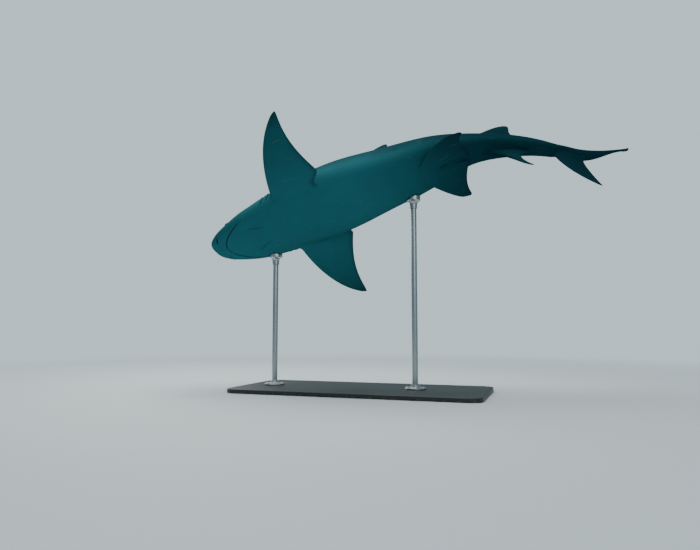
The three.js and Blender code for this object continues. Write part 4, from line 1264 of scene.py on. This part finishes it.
for name, (centre, out, back) in zip(("eye_right", "eye_left"), eyes):
    forward_look = unit(out - 0.10 * back)
    level = unit(back - back.dot(forward_look) * forward_look)
    upright = np.cross(forward_look, level)
    upright = upright * np.sign(upright[2])
    turn, polar = np.meshgrid(round_angles(EYE_TURNS), np.linspace(0, np.pi, EYE_RINGS + 1)[1:-1])
    flat = np.sin(polar)
    look = np.stack([flat * np.cos(turn), flat * np.sin(turn), np.cos(polar)], -1).reshape(-1, 3)
    look = np.vstack([look, [(0, 0, 1), (0, 0, -1)]])
    dome = 1 + IRIS_BULGE * np.exp(-(look[:, 0] ** 2 + look[:, 1] ** 2) / 0.3) * (look[:, 2] > 0)
    ball = centre + EYE_RADIUS * dome[:, None] * (look @ np.array([level, upright, forward_look]))
    faces = ring_faces(*turn.shape)
    first, last = range(EYE_TURNS), range(turn.size - EYE_TURNS, turn.size)
    faces += [(b, a, turn.size) for a, b in zip(first, np.roll(first, -1).tolist())]
    faces += [(a, b, turn.size + 1) for a, b in zip(last, np.roll(last, -1).tolist())]
    mesh = bpy.data.meshes.new(name + "_glass")
    mesh.from_pydata(pose(ball).tolist(), [], faces)
    gaze = look.astype(np.float32).ravel()
    mesh.attributes.new("look", "FLOAT_VECTOR", "POINT").data.foreach_set("vector", gaze)
    face_outwards(mesh)
    mesh.shade_smooth()
    mesh.materials.append(glass)
    eye = add_object(name + "_glass", mesh)
    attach(eye, "root")
    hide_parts(name)

# ---------------------------------------------------------------- stand base
# A flat steel plate with rounded corners and a small bevel, sprayed with a fine black powder coat.

low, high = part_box("stand_base")
BASE_CORNER = 0.060
BASE_BEVEL = 0.003
CORNER_POINTS = 18
BEVEL_ROWS = 6
UNDER_BEVEL = 0.0006


def rounded_plate(inset, height):
    """The plate's outline, drawn in by an inset, at a height."""
    reach_x, reach_y, r = high.x - inset, high.y - inset, BASE_CORNER - inset
    line = []
    for quarter in range(4):
        sign_x = 1 if quarter in (0, 3) else -1
        sign_y = 1 if quarter in (0, 1) else -1
        for k in range(CORNER_POINTS + 1):
            a = (quarter + k / CORNER_POINTS) * np.pi / 2
            x, y = sign_x * (reach_x - r) + r * np.cos(a), sign_y * (reach_y - r) + r * np.sin(a)
            line.append((x, y, height))
    return line


bend = np.linspace(0, np.pi / 2, BEVEL_ROWS)
levels = [(UNDER_BEVEL, low.z), (0, low.z + UNDER_BEVEL)]
levels += [(BASE_BEVEL * (1 - np.cos(a)), high.z - BASE_BEVEL * (1 - np.sin(a))) for a in bend]
outlines = [rounded_plate(inset, height) for inset, height in levels]
around = len(outlines[0])
underside = tuple(range(around))[::-1]
upper_side = tuple((len(outlines) - 1) * around + k for k in range(around))
faces = [underside, *ring_faces(len(outlines), around), upper_side]
plate_mesh = bpy.data.meshes.new("stand_plate")
plate_mesh.from_pydata([p for line in outlines for p in line], [], faces)
plate_mesh.shade_smooth()
for face in (plate_mesh.polygons[0], plate_mesh.polygons[len(plate_mesh.polygons) - 1]):
    face.use_smooth = False
plate = add_object("stand_plate", plate_mesh)

# Worn edges: paint rubbed thin where a surface turns sharply.
edge_wear, wear_in, wear_out = new_group(
    "edge_wear",
    [("Place", "NodeSocketVector", None), ("Pointiness", "NodeSocketFloat", 0.5),
     ("Wear", "NodeSocketFloat", 0.5)],
    [("Worn", "NodeSocketFloat")])
chips = add_node(edge_wear, "ShaderNodeTexNoise", {"Vector": wear_in["Place"], "Scale": 90, "Detail": 4})
sharp = between(edge_wear, wear_in["Pointiness"], 0.52, 0.60)
rubbed = product(edge_wear, sharp, between(edge_wear, chips.outputs["Fac"], 0.50, 0.62), wear_in["Wear"])
edge_wear.links.new(rubbed, wear_out.inputs["Worn"])

powder, tree, shader = new_material("powder_coat")
place = add_node(tree, "ShaderNodeTexCoord").outputs["Object"]
shape = add_node(tree, "ShaderNodeNewGeometry").outputs
clouds = use_group(tree, mottling, {"Place": place, "Blotch Scale": 3, "Grain Scale": 900})
worn = use_group(tree, edge_wear, {"Place": place, "Pointiness": shape["Pointiness"], "Wear": 0.8})["Worn"]
coat = blend(tree, clouds["Blotches"], (0.010, 0.011, 0.012, 1), (0.022, 0.024, 0.025, 1))
tree.links.new(blend(tree, worn, coat, (0.20, 0.20, 0.20, 1)), shader.inputs["Base Color"])
tree.links.new(calculate(tree, "MULTIPLY_ADD", clouds["Blotches"], 0.20, 0.36), shader.inputs["Roughness"])
peel = add_node(tree, "ShaderNodeBump", {"Height": clouds["Grain"], "Strength": 0.3, "Distance": 0.0003})
tree.links.new(peel.outputs[0], shader.inputs["Normal"])
plate_mesh.materials.append(powder)
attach(plate, "root")
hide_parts("stand_base")

# ---------------------------------------------------------------- rods and flanges
# Two upright steel rods, turned bright and brushed along their length, each set in a foot flange
# that four button-head screws hold to the plate.

steel, tree, shader = new_material("brushed_steel")
shader.inputs["Metallic"].default_value = 1
place = add_node(tree, "ShaderNodeTexCoord").outputs["Object"]
drawn = add_node(tree, "ShaderNodeMapping", {"Vector": place, "Scale": (900, 900, 12)})
lines = add_node(tree, "ShaderNodeTexNoise", {"Vector": drawn.outputs[0], "Scale": 1, "Detail": 3})
clouds = use_group(tree, mottling, {"Place": place, "Blotch Scale": 14, "Grain Scale": 220})
bright = blend(tree, clouds["Blotches"], (0.42, 0.43, 0.44, 1), (0.60, 0.61, 0.62, 1))
bright = blend(tree, product(tree, lines.outputs["Fac"], 0.35), bright, (0.30, 0.31, 0.32, 1))
tree.links.new(bright, shader.inputs["Base Color"])
tree.links.new(calculate(tree, "MULTIPLY_ADD", lines.outputs["Fac"], 0.22, 0.20), shader.inputs["Roughness"])
brushed = add_node(tree, "ShaderNodeBump", {
    "Height": lines.outputs["Fac"], "Strength": 0.2, "Distance": 0.0001})
tree.links.new(brushed.outputs[0], shader.inputs["Normal"])
shader.inputs["Anisotropic"].default_value = 0.4

ROUND = 96


def end_fan(row, middle):
    """Faces that close a turned piece's ring towards a point in its middle."""
    return [(row * ROUND + k, row * ROUND + (k + 1) % ROUND, middle) for k in range(ROUND)]


def turned(name, profile, centre):
    """A closed turned piece of steel: its profile ends on the axis, or else where it began."""
    on_axis = profile[0][0] == 0
    inner = profile[1:-1] if on_axis else profile
    points = [(centre[0] + r * np.cos(a), centre[1] + r * np.sin(a), z)
              for r, z in inner for a in round_angles(ROUND)]
    faces = ring_faces(len(inner), ROUND, closed=not on_axis)
    if on_axis:
        for (_, z), row in ((profile[0], 0), (profile[-1], len(inner) - 1)):
            points.append((centre[0], centre[1], z))
            faces += end_fan(row, len(points) - 1)
    mesh = bpy.data.meshes.new(name)
    mesh.from_pydata(points, [], faces)
    face_outwards(mesh)
    mesh.shade_smooth()
    mesh.set_sharp_from_angle(angle=35 * DEGREE)
    mesh.materials.append(steel)
    made = add_object(name, mesh)
    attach(made, "root")
    return made


FLANGE_RIM = 0.008
HUB_RADIUS = 0.022
HUB_FILLET = 0.005
HUB_RISE = 0.0028
BORE_GAP = 0.0004
CHAMFER = 0.0012


def middle_of(low, high):
    """The middle of a box, seen from above."""
    return (low.x + high.x) / 2, (low.y + high.y) / 2


for end in ("front", "rear"):
    low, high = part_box("stand_rod_" + end)
    centre = middle_of(low, high)
    r = (high.x - low.x) / 2
    rod = turned("stand_upright_" + end, [
        (0, low.z), (r - CHAMFER, low.z), (r, low.z + CHAMFER), (r, high.z - CHAMFER), (r - CHAMFER, high.z),
        (0, high.z)], centre)
    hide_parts("stand_rod_" + end)
    low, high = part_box("stand_flange_" + end)
    rim = (high.x - low.x) / 2
    bore = r + BORE_GAP
    foot = low.z
    step = foot + FLANGE_RIM
    fillet = [(HUB_RADIUS + HUB_FILLET * (1 - np.sin(a)), step + HUB_RISE + HUB_FILLET * (1 - np.cos(a)))
              for a in np.linspace(0, np.pi / 2, 7)]
    flange = turned("stand_foot_" + end, [
        (bore, foot), (rim - CHAMFER, foot), (rim, foot + CHAMFER),
        (rim, step - CHAMFER), (rim - CHAMFER, step),
        *fillet, (HUB_RADIUS, high.z - CHAMFER), (HUB_RADIUS - CHAMFER, high.z),
        (bore + CHAMFER, high.z), (bore, high.z - CHAMFER)], centre)
    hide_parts("stand_flange_" + end)

# Screws: button heads with a hexagonal socket, in a ring on each flange.
SCREW_SIDES = 24
SCREW_RADIUS = 0.0066
SCREW_HEIGHT = 0.0037
SOCKET_FLAT = 0.0021
SOCKET_DEPTH = 0.0020
SOCKET_RIM = SOCKET_FLAT * 1.45
SCREW_RING = 0.0395
turn = round_angles(SCREW_SIDES)
hexagon = 1 / np.cos((turn + np.pi / 6) % (np.pi / 3) - np.pi / 6)
dome = [(SOCKET_RIM + (SCREW_RADIUS - SOCKET_RIM) * np.sin(a), SCREW_HEIGHT * np.cos(a) ** 0.8)
        for a in np.linspace(0, 1.35, 7)[::-1]]
rows = [(r, z, 0) for r, z in [(SCREW_RADIUS - 0.0002, 0.0001), (SCREW_RADIUS, 0.0005), *dome]]
rows += [(SOCKET_FLAT * 1.04, SCREW_HEIGHT - 0.0002, 1), (SOCKET_FLAT, SCREW_HEIGHT - 0.0005, 1),
         (SOCKET_FLAT, SCREW_HEIGHT - SOCKET_DEPTH, 1)]
points = [(r * f * np.cos(a), r * f * np.sin(a), z)
          for r, z, is_socket in rows for a, f in zip(turn, hexagon if is_socket else 1 + 0 * turn)]
underside = tuple(range(SCREW_SIDES))[::-1]
socket_floor = tuple((len(rows) - 1) * SCREW_SIDES + k for k in range(SCREW_SIDES))
screw_mesh = bpy.data.meshes.new("screw_head")
screw_mesh.from_pydata(points, [], [underside, *ring_faces(len(rows), SCREW_SIDES), socket_floor])
screw_mesh.shade_smooth()
screw_mesh.set_sharp_from_angle(angle=32 * DEGREE)

screw_ring = bpy.data.node_groups.new("screw_ring", "GeometryNodeTree")
ring_sockets = {}
for socket, kind in (
        ("Geometry", "NodeSocketGeometry"), ("Count", "NodeSocketInt"), ("Ring Radius", "NodeSocketFloat"),
        ("Centre", "NodeSocketVector"), ("Seed", "NodeSocketInt"), ("Material", "NodeSocketMaterial")):
    made = screw_ring.interface.new_socket(socket, in_out="INPUT", socket_type=kind)
    ring_sockets[socket] = made.identifier
screw_ring.interface.new_socket("Geometry", in_out="OUTPUT", socket_type="NodeSocketGeometry")
given = screw_ring.nodes.new("NodeGroupInput").outputs
circle = add_node(screw_ring, "GeometryNodeMeshCircle", {
    "Vertices": given["Count"], "Radius": given["Ring Radius"]})
spin = add_node(screw_ring, "FunctionNodeRandomValue", {"Max": 6.28, "Seed": given["Seed"]},
                data_type="FLOAT")
tilt = add_node(screw_ring, "ShaderNodeCombineXYZ", {"Z": spin.outputs[1]})
set_out = add_node(screw_ring, "GeometryNodeInstanceOnPoints", {
    "Points": circle.outputs["Mesh"], "Instance": given["Geometry"], "Rotation": tilt.outputs[0]})
placed = add_node(screw_ring, "GeometryNodeTransform", {
    "Geometry": set_out.outputs[0], "Translation": given["Centre"]})
real = add_node(screw_ring, "GeometryNodeRealizeInstances", {"Geometry": placed.outputs[0]})
dressed = add_node(screw_ring, "GeometryNodeSetMaterial", {
    "Geometry": real.outputs[0], "Material": given["Material"]})
screw_ring.links.new(dressed.outputs[0], screw_ring.nodes.new("NodeGroupOutput").inputs[0])

for end, seed in (("front", 3), ("rear", 8)):
    low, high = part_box("stand_flange_" + end)
    maker = add_object("screw_maker_" + end, screw_mesh)
    ring_of = maker.modifiers.new("screw_ring", "NODES")
    ring_of.node_group = screw_ring
    ring_of[ring_sockets["Count"]] = 4
    ring_of[ring_sockets["Ring Radius"]] = SCREW_RING
    ring_of[ring_sockets["Centre"]] = (*middle_of(low, high), low.z + FLANGE_RIM)
    ring_of[ring_sockets["Seed"]] = seed
    ring_of[ring_sockets["Material"]] = steel
    made = bpy.data.meshes.new_from_object(maker.evaluated_get(bpy.context.evaluated_depsgraph_get()))
    made.name = "stand_screws_" + end
    maker.modifiers.remove(ring_of)
    bpy.data.objects.remove(maker)
    screws = add_object("stand_screws_" + end, made)
    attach(screws, "root")

# ---------------------------------------------------------------- saddles and pads
# Each rod ends in a turned steel cup under the throat or belly, lined with a black rubber pad
# that is moulded to the skin, so that no metal touches it.

rubber, tree, shader = new_material("pad_rubber")
place = add_node(tree, "ShaderNodeTexCoord").outputs["Object"]
clouds = use_group(tree, mottling, {"Place": place, "Blotch Scale": 30, "Grain Scale": 900})
black = blend(tree, clouds["Blotches"], (0.012, 0.012, 0.013, 1), (0.030, 0.030, 0.031, 1))
tree.links.new(black, shader.inputs["Base Color"])
tree.links.new(calculate(tree, "MULTIPLY_ADD", clouds["Grain"], 0.2, 0.60), shader.inputs["Roughness"])
moulded = add_node(tree, "ShaderNodeBump", {"Height": clouds["Grain"], "Strength": 0.4, "Distance": 0.0003})
tree.links.new(moulded.outputs[0], shader.inputs["Normal"])

under_skin = BVHTree.FromPolygons(
    [v.co for v in skin_mesh.vertices], [p.vertices for p in skin_mesh.polygons])
PAD_GAP = 0.0004
PAD_THICK = 0.003
CUP_GAP = 0.0004


def skin_above(x, y):
    """Height of the shark's skin over a point of the floor."""
    return under_skin.ray_cast(Vector((x, y, 0.1)), Vector((0, 0, 1)))[0].z


def moulded_piece(name, centre, rows, material):
    """A round piece whose rows are (radius, how far the row follows the skin, height added)."""
    points = []
    for radius, follow, height in rows:
        for a in round_angles(ROUND):
            x, y = centre[0] + radius * np.cos(a), centre[1] + radius * np.sin(a)
            points.append((x, y, height + (skin_above(x, y) if follow else 0)))
    faces = ring_faces(len(rows), ROUND)
    for row in (0, len(rows) - 1):
        loop = np.array(points[row * ROUND:(row + 1) * ROUND])
        points.append(tuple(loop.mean(axis=0)))
        faces += end_fan(row, len(points) - 1)
    mesh = bpy.data.meshes.new(name)
    mesh.from_pydata(points, [], faces)
    face_outwards(mesh)
    mesh.shade_smooth()
    mesh.set_sharp_from_angle(angle=40 * DEGREE)
    mesh.materials.append(material)
    made = add_object(name, mesh)
    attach(made, "root")
    return made


CUP_RADIUS = 0.034
CUP_LIP = 0.0012
CUP_NECK = 0.018
CUP_CENTRE = 0.002
SHOULDER_HEIGHT = 0.040
NECK_HEIGHT = 0.018
# The cup's neck, from its groove down to its foot: how far in from the neck, and how high.
NECK_PROFILE = [(0, 0.0095), (0.0012, 0.0083), (0.0012, 0.0067), (0, 0.0055), (0, 0.001), (0.001, 0)]
for end in ("front", "rear"):
    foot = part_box("stand_saddle_" + end)[0].z
    centre = middle_of(*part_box("stand_rod_" + end))
    half = PAD_THICK / 2
    middle = -PAD_GAP - half
    bend = np.linspace(0, np.pi, 9)
    rim = [(CUP_RADIUS - half + half * np.sin(a), 1, middle + half * np.cos(a)) for a in bend]
    inner = np.linspace(CUP_CENTRE, CUP_RADIUS - half, 9)[:-1]
    pad = moulded_piece("stand_lining_" + end, centre, [
        *[(r, 1, middle + half) for r in inner], *rim, *[(r, 1, middle - half) for r in inner[::-1]]], rubber)
    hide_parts("stand_pad_" + end)
    floor_of_cup = middle - half - CUP_GAP
    bend = np.linspace(0, np.pi / 2, 5)
    rows = [(r, 1, floor_of_cup) for r in (*inner, CUP_RADIUS - 1.5 * CUP_LIP)]
    rows += [(CUP_RADIUS - CUP_LIP + CUP_LIP * np.sin(a), 1, floor_of_cup - CUP_LIP + CUP_LIP * np.cos(a))
             for a in bend]
    shoulder = foot + SHOULDER_HEIGHT
    neck_top = foot + NECK_HEIGHT
    for s in np.linspace(1, 0, 14):
        z = neck_top + (shoulder - neck_top) * (1 - (1 - s) ** 1.7)
        rows.append((CUP_NECK + (CUP_RADIUS - CUP_NECK) * s ** 1.7, 0, z))
    rows += [(CUP_NECK - inset, 0, foot + height) for inset, height in NECK_PROFILE]
    rows.append((CUP_CENTRE, 0, foot))
    cup = moulded_piece("stand_cup_" + end, centre, rows, steel)
    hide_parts("stand_saddle_" + end)
